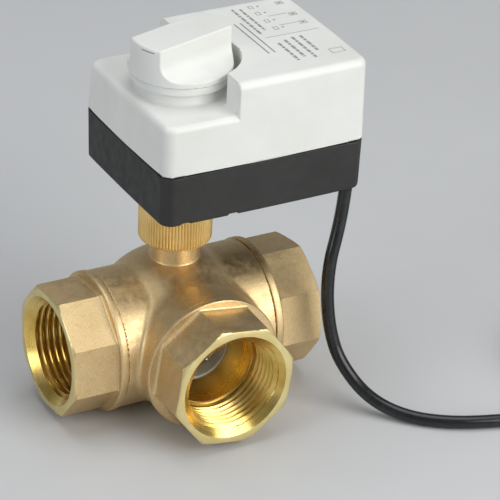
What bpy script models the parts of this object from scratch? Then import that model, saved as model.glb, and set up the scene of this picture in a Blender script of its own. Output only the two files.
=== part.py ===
"""Motorised three-way brass ball valve: brass body with three screwed end connectors,
an L-bored ball turned by a geared mains actuator with a manual knob, and its supply cable.

Sizes are in millimetres and become metres when a mesh is made. The stem is the Z axis,
the run ports lie along X, the common port faces -Y, and Z = 0 is the standing surface.
"""
import math

import bmesh
import bpy
from mathutils import Matrix, Vector

MM = 0.001
GAP = 0.3                      # clearance kept between pieces that touch

# ---------------------------------------------------------------- valve body
AXIS_Z = 23.6                  # height of the port axes
BALL_R = 17.5
BORE_R = 10.0                  # flow passage through the ball
DOME_R = 27.5                  # spherical middle of the body
BARREL_R = 23.2                # cylindrical arms of the body
FACE = 27.2                    # stem axis to a machined arm face
SOCKET_R = 20.0                # screwed socket that takes a connector's spigot
SOCKET_DEPTH = 8.6
CHAMBER_R = 18.3
NECK_R = 8.3
NECK_FOOT_R = 9.2
NECK_FOOT_Z = AXIS_Z + 23.8
NECK_FLANGE_Z = AXIS_Z + 37.2
NECK_TOP_Z = AXIS_Z + 40.0
STEM_R = 4.8

# ---------------------------------------------------------------- end connectors
FLATS = 41.0                   # octagon across flats
FLANGE_R = 23.6
FLANGE_W = 2.4
CONNECTOR_L = 18.1             # joint face to end face
SPIGOT_R = SOCKET_R - GAP
SPIGOT_L = 8.0                 # part of a connector inside its socket
PITCH = 2.309                  # G1 pipe thread
THREAD_ROOT_R = 16.6
THREAD_CREST_R = 15.2
THREAD_TURNS = 6
MOUTH_R = 18.5
OCTAGON_TURN = {"left": 4.0, "front": -8.0, "right": -9.0}  # degrees about +Z, as screwed home

# ---------------------------------------------------------------- coupling nut
NUT_R = 12.2
NUT_Z0 = AXIS_Z + 33.4
NUT_Z1 = AXIS_Z + 51.8
NUT_RIBS = 72

# ---------------------------------------------------------------- actuator case
CASE_X0, CASE_X1 = -18.4, 54.2
CASE_Y0, CASE_Y1 = -27.4, 31.4
CASE_CORNER = 3.8
CASE_BOW = 0.45                # outward bow of each wall at mid length
WALL = 2.0
BASE_Z0 = AXIS_Z + 52.8
PART_Z = AXIS_Z + 70.6         # parting line of base and cover
DECK_Z = AXIS_Z + 87.7         # low deck under the knob
TOP_Z = AXIS_Z + 98.8          # raised deck
STEP_X = 7.0                   # where the raised deck begins
POCKET_R = 19.4                # round bay that the knob turns in
EDGE_R = 2.2
BASE_DRAFT = 0.3
COVER_DRAFT = 0.3
BACK_LEAN = 3.0                # how far the cover's back wall leans in at its top
SCREWS = ((-11.2, -20.4), (-11.2, 24.4), (20.0, -20.4), (47.0, 24.4))
BOSS_R = 3.0
SCREW_R = 1.4

# ---------------------------------------------------------------- manual knob
KNOB_R = 17.0
KNOB_Z0 = AXIS_Z + 94.6
KNOB_Z1 = AXIS_Z + 106.8
KNOB_RIM = 1.9
GRIP_HALF = 7.0
GRIP_FILLET = 5.6              # hollow between the grip's wall and the rim
KNOB_ANGLE = 16.0              # pose in which the knob stands, from the run axis
COLLAR_R = 16.4

# ---------------------------------------------------------------- gear train
MODULE = 1.0
TEETH_OUTPUT = 27
TEETH_WHEEL = 22
TEETH_PINION = 12
BACKLASH = 0.2
PRESSURE_ANGLE = math.radians(20)
SHAFT_R = 4.4
PLATE_Z0 = AXIS_Z + 71.2
PLATE_T = 1.5
LAYER = (AXIS_Z + 58.0, AXIS_Z + 62.4, AXIS_Z + 66.6)        # foot of each gear layer
LAYER_T = 3.6
AXLE_R = 1.5
MOTOR_R = 12.4
MOTOR_H = 15.0
SWITCH_Y = 11.0                # stem axis to the face of a limit switch
LEVER_Y = 9.3
LEVER_L = 11.5

# ---------------------------------------------------------------- supply cable
CABLE_D = 4.4
FLOOR_GAP = 0.05
CABLE_EXIT = (49.9, -23.7, BASE_Z0 - 0.8)
# centre line from the base, down and along the standing surface, chosen by hand
CABLE_ROUTE = (
    (49.9, -23.7, 75.3),
    (49.0, -24.0, 68.0),
    (47.1, -25.0, 60.0),
    (44.4, -26.3, 51.0),
    (43.5, -26.9, 42.0),
    (43.4, -28.0, 34.0),
    (43.8, -29.9, 26.5),
    (45.2, -32.8, 18.5),
    (48.1, -37.4, 11.5),
    (51.5, -43.2, 6.6),
    (56.1, -49.5, 3.6),
    (61.8, -56.0, 2.4),
    (68.6, -61.7, 2.25),
    (76.5, -66.0, 2.25),
    (85.1, -69.1, 2.25),
    (94.3, -72.0, 2.25),
    (103.9, -74.9, 2.25),
    (113.9, -78.1, 2.25),
    (126.3, -81.9, 2.25),
)
COIL_CENTRE = (140.7, -52.1)
COIL_MEAN_R = 25.8             # middle of the turns, ten to twelve diameters across
COIL_TURNS_WIDE = 2
COIL_TURNS_HIGH = 2
CORE_R = 0.8
CORE_L = 16.0
CORE_ANGLE = 8.0               # where the bare cores leave the coil


# ================================================================ helpers
def clear_scene():
    for obj in list(bpy.data.objects):
        bpy.data.objects.remove(obj)


def make_material(name, colour, roughness, metallic=0.0):
    material = bpy.data.materials.new(name)
    material.use_nodes = True
    shader = material.node_tree.nodes["Principled BSDF"]
    shader.inputs["Base Color"].default_value = (*colour, 1.0)
    shader.inputs["Roughness"].default_value = roughness
    shader.inputs["Metallic"].default_value = metallic
    return material


def add_object(name, bm, material, location=(0.0, 0.0, 0.0), smooth=True):
    """Turn a bmesh in metres into a named object at a location in millimetres."""
    bmesh.ops.remove_doubles(bm, verts=bm.verts, dist=1e-7)
    bmesh.ops.recalc_face_normals(bm, faces=bm.faces)
    mesh = bpy.data.meshes.new(name)
    bm.to_mesh(mesh)
    bm.free()
    if smooth:
        mesh.shade_smooth()
        mesh.set_sharp_from_angle(angle=math.radians(32))
    mesh.materials.append(material)
    obj = bpy.data.objects.new(name, mesh)
    obj.location = Vector(location) * MM
    bpy.context.scene.collection.objects.link(obj)
    return obj


def turned(name, outline, material, steps=32, location=(0.0, 0.0, 0.0), smooth=True):
    """Revolve an (radius, height) outline round Z; it closes itself unless both ends are on Z."""
    bm = bmesh.new()
    verts = [bm.verts.new((radius * MM, 0.0, height * MM)) for radius, height in outline]
    edges = [bm.edges.new(pair) for pair in zip(verts, verts[1:])]
    if outline[0][0] > 0 or outline[-1][0] > 0:
        edges.append(bm.edges.new((verts[-1], verts[0])))
    bmesh.ops.spin(bm, geom=verts + edges, cent=(0, 0, 0), axis=(0, 0, 1),
                   angle=2 * math.pi, steps=steps, use_merge=True)
    bmesh.ops.remove_doubles(bm, verts=bm.verts, dist=1e-6)
    flat_ends = []
    for (radius, height), neighbour in ((outline[0], outline[1]), (outline[-1], outline[-2])):
        if radius == 0 and neighbour[1] == height:
            flat_ends.append(height * MM)
    centres = [vert for vert in bm.verts
               if vert.co.xy.length < 1e-7 and any(abs(vert.co.z - z) < 1e-7 for z in flat_ends)]
    bmesh.ops.dissolve_verts(bm, verts=centres)
    return add_object(name, bm, material, location, smooth)


def lofted(name, rings, material, location=(0.0, 0.0, 0.0), smooth=True):
    """Join outlines of equal length at rising heights: rings is [(height, [(x, y), ...]), ...]."""
    bm = bmesh.new()
    loops = [[bm.verts.new((x * MM, y * MM, height * MM)) for x, y in outline]
             for height, outline in rings]
    count = len(loops[0])
    for lower, upper in zip(loops, loops[1:]):
        for i in range(count):
            j = (i + 1) % count
            bm.faces.new((lower[i], lower[j], upper[j], upper[i]))
    bm.faces.new(reversed(loops[0]))
    bm.faces.new(loops[-1])
    return add_object(name, bm, material, location, smooth)


def block(name, low, high, material, location=(0.0, 0.0, 0.0)):
    """Axis-aligned box from its low corner to its high corner."""
    outline = [(low[0], low[1]), (high[0], low[1]), (high[0], high[1]), (low[0], high[1])]
    return lofted(name, [(low[2], outline), (high[2], outline)], material, location, smooth=False)


def rod(name, radius, z0, z1, material, at=(0.0, 0.0), steps=20):
    return turned(name, [(0, z0), (radius, z0), (radius, z1), (0, z1)], material, steps,
                  location=(at[0], at[1], 0.0))


def ball_shape(name, radius, material, centre=(0.0, 0.0, 0.0), segments=32):
    bm = bmesh.new()
    bmesh.ops.create_uvsphere(bm, u_segments=segments, v_segments=segments // 2, radius=radius * MM)
    return add_object(name, bm, material, centre)


def combine(target, tools, operation):
    """Apply exact Booleans of the tools to the target and remove the tools."""
    bpy.context.view_layer.update()
    for tool in tools:
        modifier = target.modifiers.new("combine", "BOOLEAN")
        modifier.operation = operation
        modifier.solver = "EXACT"
        modifier.object = tool
    bpy.context.view_layer.update()
    evaluated = target.evaluated_get(bpy.context.evaluated_depsgraph_get())
    mesh = bpy.data.meshes.new_from_object(evaluated)
    target.modifiers.clear()
    target.data = mesh
    for tool in tools:
        bpy.data.objects.remove(tool)
    return target


def cut(target, *tools):
    return combine(target, tools, "DIFFERENCE")


def join(target, *tools):
    return combine(target, tools, "UNION")


def aim(obj, direction, roll=0.0):
    """Turn an object modelled along +Z so that its axis points along X or Y, rolled about it."""
    quarter = {
        "-X": Matrix.Rotation(math.radians(-90), 4, "Y"),
        "+X": Matrix.Rotation(math.radians(90), 4, "Y"),
        "-Y": Matrix.Rotation(math.radians(90), 4, "X"),
        "+Y": Matrix.Rotation(math.radians(-90), 4, "X"),
    }[direction]
    spin = Matrix.Rotation(math.radians(roll), 4, "Z")
    obj.rotation_euler = (quarter @ spin).to_euler()
    return obj


def arc(radius, start, end, steps, centre=(0.0, 0.0)):
    """Points of a circular arc, angles in degrees."""
    points = []
    for i in range(steps + 1):
        angle = math.radians(start + (end - start) * i / steps)
        points.append((centre[0] + radius * math.cos(angle), centre[1] + radius * math.sin(angle)))
    return points


def case_outline(inset=0.0, lean=0.0):
    """Rounded rectangle with slightly bowed walls, anticlockwise, shrunk by the inset.

    The lean moves the back wall in as well.
    """
    x0, x1 = CASE_X0 + inset, CASE_X1 - inset
    y0, y1 = CASE_Y0 + inset, CASE_Y1 - inset - lean
    corner = max(CASE_CORNER - inset, 1.0)
    corners = ((x1 - corner, y0 + corner), (x1 - corner, y1 - corner),
               (x0 + corner, y1 - corner), (x0 + corner, y0 + corner))
    points = []
    for index, centre in enumerate(corners):
        outward = math.radians(90 * index)
        points += arc(corner, 90 * index - 90, 90 * index, 3, centre)
        following = corners[(index + 1) % 4]
        for share in (0.25, 0.5, 0.75):
            offset = corner + CASE_BOW * 4 * share * (1 - share)
            points.append((centre[0] + (following[0] - centre[0]) * share + offset * math.cos(outward),
                           centre[1] + (following[1] - centre[1]) * share + offset * math.sin(outward)))
    return points


# ================================================================ materials
def make_materials():
    return {
        "cast_brass": make_material("cast_brass", (0.52, 0.33, 0.14), 0.55, 1.0),
        "machined_brass": make_material("machined_brass", (0.75, 0.52, 0.17), 0.25, 1.0),
        "chromed_brass": make_material("chromed_brass", (0.65, 0.66, 0.68), 0.12, 1.0),
        "steel": make_material("steel", (0.55, 0.55, 0.56), 0.35, 1.0),
        "ptfe": make_material("ptfe", (0.80, 0.80, 0.78), 0.5),
        "seal_rubber": make_material("seal_rubber", (0.03, 0.03, 0.03), 0.7),
        "white_plastic": make_material("white_plastic", (0.74, 0.77, 0.74), 0.4),
        "black_plastic": make_material("black_plastic", (0.035, 0.035, 0.033), 0.5),
        "gear_plastic": make_material("gear_plastic", (0.80, 0.78, 0.70), 0.45),
        "board_green": make_material("board_green", (0.05, 0.22, 0.08), 0.5),
        "component_blue": make_material("component_blue", (0.06, 0.14, 0.40), 0.4),
        "cable_black": make_material("cable_black", (0.02, 0.02, 0.02), 0.35),
        "wire_brown": make_material("wire_brown", (0.22, 0.10, 0.04), 0.4),
        "wire_blue": make_material("wire_blue", (0.04, 0.12, 0.45), 0.4),
        "wire_yellow": make_material("wire_yellow", (0.70, 0.60, 0.05), 0.4),
    }


# ================================================================ brass valve
def arm(name, direction, radius, start, end, material, steps=36):
    """Cylinder about a port axis, from start to end along the direction."""
    shape = turned(name, [(0, start), (radius, start), (radius, end), (0, end)], material, steps)
    shape.location = (0, 0, AXIS_Z * MM)
    return aim(shape, direction)


def build_valve_body(mats):
    brass = mats["cast_brass"]
    body = ball_shape("valve_body", DOME_R, brass, (0, 0, AXIS_Z), 28)
    neck = turned("neck", [
        (0, AXIS_Z + 10), (NECK_FOOT_R + 1.2, AXIS_Z + 10), (NECK_FOOT_R + 1.2, NECK_FOOT_Z),
        (NECK_FOOT_R - 0.2, NECK_FOOT_Z + 0.6), (NECK_R, NECK_FOOT_Z + 1.4), (NECK_R, NECK_FLANGE_Z),
        (NECK_R + 1.4, NECK_FLANGE_Z), (NECK_R + 1.4, NECK_TOP_Z), (0, NECK_TOP_Z)], brass, 24)
    run = arm("run", "+X", BARREL_R, -FACE, FACE, brass)
    branch = arm("branch", "-Y", BARREL_R, 2, FACE, brass)
    join(body, neck, run, branch)
    sockets = []
    for side in ("-X", "+X", "-Y"):
        socket = turned("socket", [
            (0, FACE - SOCKET_DEPTH), (SOCKET_R, FACE - SOCKET_DEPTH), (SOCKET_R, FACE - 0.8),
            (SOCKET_R + 1.8, FACE + 1), (0, FACE + 1)], brass, 32)
        socket.location = (0, 0, AXIS_Z * MM)
        sockets.append(aim(socket, side))
    chamber = arm("chamber", "+X", CHAMBER_R, -FACE + 2, FACE - 2, brass, 28)
    branch_chamber = arm("branch_chamber", "-Y", CHAMBER_R - 0.01, 1, FACE - 3, brass, 28)
    rear_pocket = arm("rear_pocket", "+Y", 15.5, 3, 20.3, brass, 24)
    stem_way = turned("stem_way", [
        (0, AXIS_Z + 12), (7.3, AXIS_Z + 12), (7.3, AXIS_Z + 21.6), (STEM_R + GAP, AXIS_Z + 21.6),
        (STEM_R + GAP, NECK_TOP_Z + 1), (0, NECK_TOP_Z + 1)], brass, 20)
    foot_cut = block("foot_cut", (-30, -30, -10), (30, 30, 0.0), brass)
    return cut(body, chamber, branch_chamber, *sockets, rear_pocket, stem_way, foot_cut)


def connector_bore():
    """Outline of the passage of a connector, from the mouth down through the spigot."""
    outline = [(0, CONNECTOR_L + 1), (MOUTH_R + 1, CONNECTOR_L + 1), (MOUTH_R, CONNECTOR_L),
               (THREAD_CREST_R, CONNECTOR_L - 1.5)]
    height = CONNECTOR_L - 1.7
    for _ in range(THREAD_TURNS):
        outline.append((THREAD_CREST_R, height))
        outline.append((THREAD_ROOT_R, height - PITCH * 0.5))
        height -= PITCH
    outline += [(THREAD_CREST_R, height), (THREAD_CREST_R, height - 1.0), (14.4, height - 1.4),
                (BORE_R + 1.0, -SPIGOT_L - 1), (0, -SPIGOT_L - 1)]
    return outline


def build_connectors(mats):
    brass = mats["cast_brass"]
    vertex_r = FLATS / 2 / math.cos(math.pi / 8)
    octagon = [(vertex_r * math.cos(math.radians(22.5 + 45 * k)),
                vertex_r * math.sin(math.radians(22.5 + 45 * k))) for k in range(8)]
    shell = lofted("octagon", [(FLANGE_W - 0.5, octagon), (CONNECTOR_L, octagon)], brass, smooth=False)
    end_turning = turned("end_turning", [
        (0, FLANGE_W - 2), (FLANGE_R + 1, FLANGE_W - 2), (FLANGE_R + 1, CONNECTOR_L - 1.9),
        (FLATS / 2 + 0.4, CONNECTOR_L), (0, CONNECTOR_L)], brass, 40)
    combine(shell, [end_turning], "INTERSECT")
    groove_z = -SPIGOT_L / 2
    flange = turned("flange", [
        (0, -SPIGOT_L), (SPIGOT_R - 0.5, -SPIGOT_L), (SPIGOT_R, -SPIGOT_L + 0.5),
        (SPIGOT_R, groove_z - 1.3), (SPIGOT_R - 1.8, groove_z - 1.3), (SPIGOT_R - 1.8, groove_z + 1.3),
        (SPIGOT_R, groove_z + 1.3), (SPIGOT_R, 0), (FLANGE_R, 0), (FLANGE_R, FLANGE_W - 0.5),
        (FLANGE_R - 0.5, FLANGE_W), (0, FLANGE_W)], brass, 36)
    join(shell, flange)
    cut(shell, turned("bore", connector_bore(), brass, 20))
    placements = {"left": ("-X", -1, 0), "right": ("+X", 1, 0), "front": ("-Y", 0, -1)}
    for side, (direction, ux, uy) in placements.items():
        connector = bpy.data.objects.new("end_connector_" + side, shell.data)
        bpy.context.scene.collection.objects.link(connector)
        reach = FACE + GAP
        connector.location = (ux * reach * MM, uy * reach * MM, AXIS_Z * MM)
        aim(connector, direction, OCTAGON_TURN[side])
        seal_r = SPIGOT_R - 0.8
        seal = turned("connector_oring_" + side, [(seal_r + x, groove_z + z) for x, z in
                                                  arc(0.7, 0, 288, 4)], mats["seal_rubber"], 16)
        seal.location = connector.location
        aim(seal, direction)
    bpy.data.objects.remove(shell)


def seat_outline(outer_r, back):
    """Seat ring section (radius, distance): spherical face on the ball, 45 degree relief outside."""
    face_r = BALL_R + GAP
    inner_r = BORE_R + 0.3
    start = math.degrees(math.acos(inner_r / face_r))
    points = [(inner_r, back)]
    points += arc(face_r, start, 46.5, 2)
    points += [(outer_r, outer_r + 0.5), (outer_r, back)]
    return points


def build_ball_group(mats, rotor):
    for side, direction in (("left", "-X"), ("right", "+X"), ("front", "-Y"), ("rear", "+Y")):
        if side == "rear":
            outline = seat_outline(15.2, 20.0)
        else:
            outline = seat_outline(17.6, FACE + GAP - SPIGOT_L - GAP)
        seat = turned("ball_seat_" + side, outline, mats["ptfe"], 20)
        seat.location = (0, 0, AXIS_Z * MM)
        aim(seat, direction)

    ball = ball_shape("valve_ball", BALL_R, mats["chromed_brass"], segments=24)
    legs = []
    for direction, radius in (("-X", BORE_R), ("-Y", BORE_R - 0.02)):
        leg = turned("leg", [(0, -9), (5.0, -8.1), (radius, -2), (radius, 20), (0, 20)],
                     mats["chromed_brass"], 20)
        legs.append(aim(leg, direction))
    slot = block("slot", (-7.5, -2.9, 13.0), (7.5, 2.9, 18.0), mats["chromed_brass"])
    cut(ball, *legs, slot)
    ball.parent = rotor
    ball.location = (0, 0, AXIS_Z * MM)
    ball.rotation_euler = (0, 0, math.radians(KNOB_ANGLE))

    collar_z = AXIS_Z + 19.0
    stem = turned("valve_stem", [
        (0, AXIS_Z + 17.0), (5.8, AXIS_Z + 17.9), (6.9, collar_z), (6.9, collar_z + 1.4),
        (STEM_R, collar_z + 1.4), (STEM_R, AXIS_Z + 26), (3.1, AXIS_Z + 26), (3.1, AXIS_Z + 28),
        (STEM_R, AXIS_Z + 28), (STEM_R, AXIS_Z + 30), (3.1, AXIS_Z + 30), (3.1, AXIS_Z + 32),
        (STEM_R, AXIS_Z + 32), (STEM_R, AXIS_Z + 42), (STEM_R - 0.8, AXIS_Z + 42.4),
        (0, AXIS_Z + 42.4)], mats["machined_brass"], 16)
    tang = block("tang", (-5.0, -2.5, AXIS_Z + 13.6), (5.0, 2.5, AXIS_Z + 19.5), mats["machined_brass"])
    square = block("square", (-2.7, -2.7, AXIS_Z + 41), (2.7, 2.7, AXIS_Z + 50), mats["machined_brass"])
    join(stem, tang, square)
    stem.parent = rotor
    stem.rotation_euler = (0, 0, math.radians(KNOB_ANGLE))

    turned("stem_thrust_washer", [(STEM_R + GAP, collar_z + 1.7), (7.0, collar_z + 1.7),
                                  (7.0, collar_z + 2.3), (STEM_R + GAP, collar_z + 2.3)],
           mats["ptfe"], 24)
    for name, height in (("stem_oring_lower", 27.0), ("stem_oring_upper", 31.0)):
        turned(name, arc(0.68, 0, 288, 4, (4.1, AXIS_Z + height)), mats["seal_rubber"], 12)


def build_coupling(mats):
    brass = mats["machined_brass"]
    ribs = []
    for i in range(NUT_RIBS):
        for radius, offset in ((NUT_R, 0.0), (NUT_R - 0.55, 0.5)):
            angle = 2 * math.pi * (i + offset) / NUT_RIBS
            ribs.append((radius * math.cos(angle), radius * math.sin(angle)))
    nut = lofted("coupling_nut", [(NUT_Z0, ribs), (NUT_Z1, ribs)], brass)
    bore = turned("nut_bore", [
        (0, NUT_Z0 - 1), (NECK_R + GAP, NUT_Z0 - 1), (NECK_R + GAP, NUT_Z0 + 2.6), (10.2, NUT_Z0 + 2.6),
        (10.2, NUT_Z1 + 1), (0, NUT_Z1 + 1)], brass, 32)
    cut(nut, bore)

    bottom = NECK_TOP_Z + GAP
    floor_top = BASE_Z0 + WALL + 0.4
    turned("mounting_spigot", [
        (5.9, bottom), (9.9, bottom), (9.9, BASE_Z0 + 0.3), (9.9, floor_top + GAP),
        (13.5, floor_top + GAP), (13.5, floor_top + 2.0), (5.9, floor_top + 2.0)],
        mats["steel"], 24)


# ================================================================ actuator case
def build_base(mats):
    black = mats["black_plastic"]
    base = lofted("base_housing", [
        (BASE_Z0, case_outline(BASE_DRAFT + 0.6)),
        (BASE_Z0 + 0.6, case_outline(BASE_DRAFT)),
        (PART_Z - GAP, case_outline(0.0))], black)
    cavity = lofted("cavity", [
        (BASE_Z0 + WALL + 0.4, case_outline(BASE_DRAFT + WALL)),
        (PART_Z + 1, case_outline(WALL))], black)
    bosses = [rod("boss", BOSS_R, BASE_Z0 + 1.0, PART_Z - 1.0, black, at, 16) for at in SCREWS]
    cut(base, cavity)
    join(base, *bosses)
    tools = [rod("spigot_hole", 10.2, BASE_Z0 - 1, BASE_Z0 + 6, black, steps=32)]
    for at in SCREWS:
        tools.append(turned("screw_way", [
            (0, BASE_Z0 - 1), (2.9, BASE_Z0 - 1), (2.9, BASE_Z0 + 2.4), (SCREW_R + GAP, BASE_Z0 + 2.4),
            (SCREW_R + GAP, PART_Z + 1), (0, PART_Z + 1)], black, 16, location=(*at, 0)))
    tools.append(turned("cable_way", [
        (0, BASE_Z0 - 1), (2.6, BASE_Z0 - 1), (2.6, BASE_Z0 + 2.3), (3.1, BASE_Z0 + 2.3),
        (3.1, BASE_Z0 + 13), (0, BASE_Z0 + 13)], black, 20, location=(*CABLE_EXIT[:2], 0)))
    return cut(base, *tools)


def build_cover(mats):
    white = mats["white_plastic"]
    rings = [(PART_Z, case_outline(0.0)), (TOP_Z - EDGE_R, case_outline(COVER_DRAFT, BACK_LEAN))]
    for angle in (30, 60, 90):
        turn = math.radians(angle)
        rings.append((TOP_Z - EDGE_R * (1 - math.sin(turn)),
                      case_outline(COVER_DRAFT + EDGE_R * (1 - math.cos(turn)), BACK_LEAN)))
    cover = lofted("actuator_cover", rings, white)

    deck_cut = block("deck_cut", (CASE_X0 - 5, CASE_Y0 - 5, DECK_Z), (STEP_X, CASE_Y1 + 5, TOP_Z + 5), white)
    join(deck_cut, rod("bay_cut", POCKET_R, DECK_Z, TOP_Z + 6, white, steps=40))
    low_cavity = lofted("low_cavity", [
        (PART_Z - 1, case_outline(WALL)), (DECK_Z - WALL, case_outline(WALL + COVER_DRAFT, BACK_LEAN / 2))], white)
    high_cavity = block("high_cavity", (STEP_X + WALL, CASE_Y0 + 3, DECK_Z - WALL - 1),
                        (CASE_X1 - 3, CASE_Y1 - BACK_LEAN - 3, TOP_Z - WALL), white)
    cut(high_cavity, rod("bay_wall", POCKET_R + WALL, DECK_Z - 10, TOP_Z + 5, white, steps=40))
    boss = turned("knob_boss", [(0, DECK_Z - 1), (15.0, DECK_Z - 1), (15.0, DECK_Z), (13.8, DECK_Z + 3.6),
                                (0, DECK_Z + 3.6)], white, 36)
    join(high_cavity, low_cavity)
    cut(cover, deck_cut, high_cavity)
    posts = []
    for at in SCREWS:
        top = TOP_Z - 1 if at[0] > STEP_X else DECK_Z - 1
        posts.append(rod("post", BOSS_R, PART_Z + 0.6, top, white, at, 16))
    join(cover, boss, *posts)
    shaft_way = rod("shaft_way", SHAFT_R + 0.6, DECK_Z - 5, DECK_Z + 10, white, steps=24)
    screw_ways = [rod("screw_way", SCREW_R + GAP, PART_Z - 1, PART_Z + 8, white, at, 12) for at in SCREWS]
    return cut(cover, shaft_way, *screw_ways)


def build_case_hardware(mats):
    inner = case_outline(WALL + 0.4 + 1.3)
    gasket = lofted("cover_gasket", [(PART_Z - 0.9, case_outline(WALL + 0.4)),
                                     (PART_Z + 0.9, case_outline(WALL + 0.4))], mats["seal_rubber"])
    cut(gasket, lofted("gasket_window", [(PART_Z - 3, inner), (PART_Z + 3, inner)], mats["seal_rubber"]))
    notches = [rod("boss_notch", BOSS_R + GAP, PART_Z - 3, PART_Z + 3, mats["seal_rubber"], at, 16)
               for at in SCREWS]
    cut(gasket, *notches)
    for index, at in enumerate(SCREWS, start=1):
        screw = turned("cover_screw_%d" % index, [
            (0, BASE_Z0 + 0.5), (2.4, BASE_Z0 + 0.5), (2.6, BASE_Z0 + 0.8), (2.6, BASE_Z0 + 2.1),
            (SCREW_R, BASE_Z0 + 2.1), (SCREW_R, PART_Z + 7), (0, PART_Z + 7.6)],
            mats["steel"], 14, location=(*at, 0))
        recess = block("recess", (-1.6, -0.35, BASE_Z0), (1.6, 0.35, BASE_Z0 + 1.2), mats["steel"], (*at, 0))
        cross = block("cross", (-0.35, -1.6, BASE_Z0), (0.35, 1.6, BASE_Z0 + 1.2), mats["steel"], (*at, 0))
        cut(screw, recess, cross)


# ================================================================ knob and shaft
def build_knob(mats, rotor):
    white = mats["white_plastic"]
    knob = turned("manual_knob", [
        (0, KNOB_Z0), (KNOB_R - 0.4, KNOB_Z0), (KNOB_R, KNOB_Z0 + 0.4), (KNOB_R, KNOB_Z1 - 0.9),
        (KNOB_R - 0.3, KNOB_Z1 - 0.3), (KNOB_R - 0.9, KNOB_Z1), (0, KNOB_Z1)], white, 40)
    scoop_z = KNOB_Z0 + KNOB_RIM
    scoops = []
    for side in (-1, 1):
        profile = [(side * GRIP_HALF, KNOB_Z1 + 2)]
        profile += [(side * y, z) for y, z in
                    arc(GRIP_FILLET, 180, 270, 5, (GRIP_HALF + GRIP_FILLET, scoop_z + GRIP_FILLET))]
        profile += [(side * (KNOB_R + 3), scoop_z), (side * (KNOB_R + 3), KNOB_Z1 + 2)]
        bm = bmesh.new()
        face = bm.faces.new([bm.verts.new((-25 * MM, y * MM, z * MM)) for y, z in profile])
        moved = bmesh.ops.extrude_face_region(bm, geom=[face])
        verts = [item for item in moved["geom"] if isinstance(item, bmesh.types.BMVert)]
        bmesh.ops.translate(bm, verts=verts, vec=(50 * MM, 0, 0))
        scoops.append(add_object("scoop", bm, white))
    socket = rod("socket", SHAFT_R + GAP, KNOB_Z0 - 1, KNOB_Z0 + 7.5, white, steps=24)
    cut(knob, *scoops, socket)
    knob.parent = rotor
    knob.rotation_euler = (0, 0, math.radians(KNOB_ANGLE))

    collar = turned("knob_collar", [
        (SHAFT_R + GAP, DECK_Z + 3.9), (COLLAR_R - 0.4, DECK_Z + 3.9), (COLLAR_R, DECK_Z + 4.3),
        (COLLAR_R, KNOB_Z0 - GAP - 0.2), (COLLAR_R - 0.3, KNOB_Z0 - GAP), (SHAFT_R + GAP, KNOB_Z0 - GAP)],
        white, 32)
    collar.parent = rotor

    shaft = turned("output_shaft", [
        (0, NECK_TOP_Z + 3), (5.4, NECK_TOP_Z + 3), (5.4, LAYER[0] - 0.6), (SHAFT_R, LAYER[0] - 0.6),
        (SHAFT_R, KNOB_Z0 + 7.0), (0, KNOB_Z0 + 7.0)], mats["steel"], 24)
    socket = block("square_socket", (-3.0, -3.0, NECK_TOP_Z), (3.0, 3.0, AXIS_Z + 50.4), mats["steel"])
    socket.rotation_euler = (0, 0, math.radians(KNOB_ANGLE))
    cut(shaft, socket)
    shaft.parent = rotor


# ================================================================ gear train
def involute(angle):
    return math.tan(angle) - angle


def tooth_outline(teeth, phase):
    """Outline of a spur gear: involute flanks drawn through the root, pitch and tip radii."""
    pitch_r = MODULE * teeth / 2
    base_r = pitch_r * math.cos(PRESSURE_ANGLE)
    root_r = pitch_r - 1.0 * MODULE
    tip_r = pitch_r + 0.72 * MODULE
    half_tooth = math.pi / teeth / 2 - BACKLASH / 2 / pitch_r

    def spread(radius):
        pressure = math.acos(min(1.0, base_r / radius))
        return half_tooth + involute(PRESSURE_ANGLE) - involute(pressure)

    flank = (root_r, pitch_r, tip_r)
    sides = [(radius, -spread(radius)) for radius in flank]
    sides += [(radius, spread(radius)) for radius in reversed(flank)]
    points = []
    for tooth in range(teeth):
        centre = phase + 2 * math.pi * tooth / teeth
        for radius, offset in sides:
            points.append((radius * math.cos(centre + offset), radius * math.sin(centre + offset)))
    return points


def gear_disc(name, teeth, z0, z1, phase, material, at):
    outline = tooth_outline(teeth, phase)
    return lofted(name, [(z0, outline), (z1, outline)], material, (at[0], at[1], 0.0))


def meshing_phase(own_teeth, other_teeth, other_phase, bearing):
    """Phase that puts a gap of this gear on the neighbour's tooth along the line of centres.

    bearing is the direction in radians from this gear to its neighbour.
    """
    other_turn = (bearing + math.pi - other_phase) * other_teeth / (2 * math.pi)
    fraction = other_turn - math.floor(other_turn)
    return bearing - (0.5 - fraction) * 2 * math.pi / own_teeth


def gear_places():
    """Centres of the intermediate gears and the motor, from the centre distances."""
    first = MODULE * (TEETH_OUTPUT + TEETH_PINION) / 2
    step = MODULE * (TEETH_WHEEL + TEETH_PINION) / 2
    low_gear = (first, 0.0)
    lean = math.radians(20)
    mid_gear = (low_gear[0] + step * math.cos(lean), step * math.sin(lean))
    rise = math.radians(-85)
    motor = (mid_gear[0] + step * math.cos(rise), mid_gear[1] + step * math.sin(rise))
    return low_gear, mid_gear, motor, lean, rise


def bored(obj, radius, at, z0, z1, material):
    return cut(obj, rod("bore", radius, z0 - 1, z1 + 1, material, at, 20))


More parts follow.
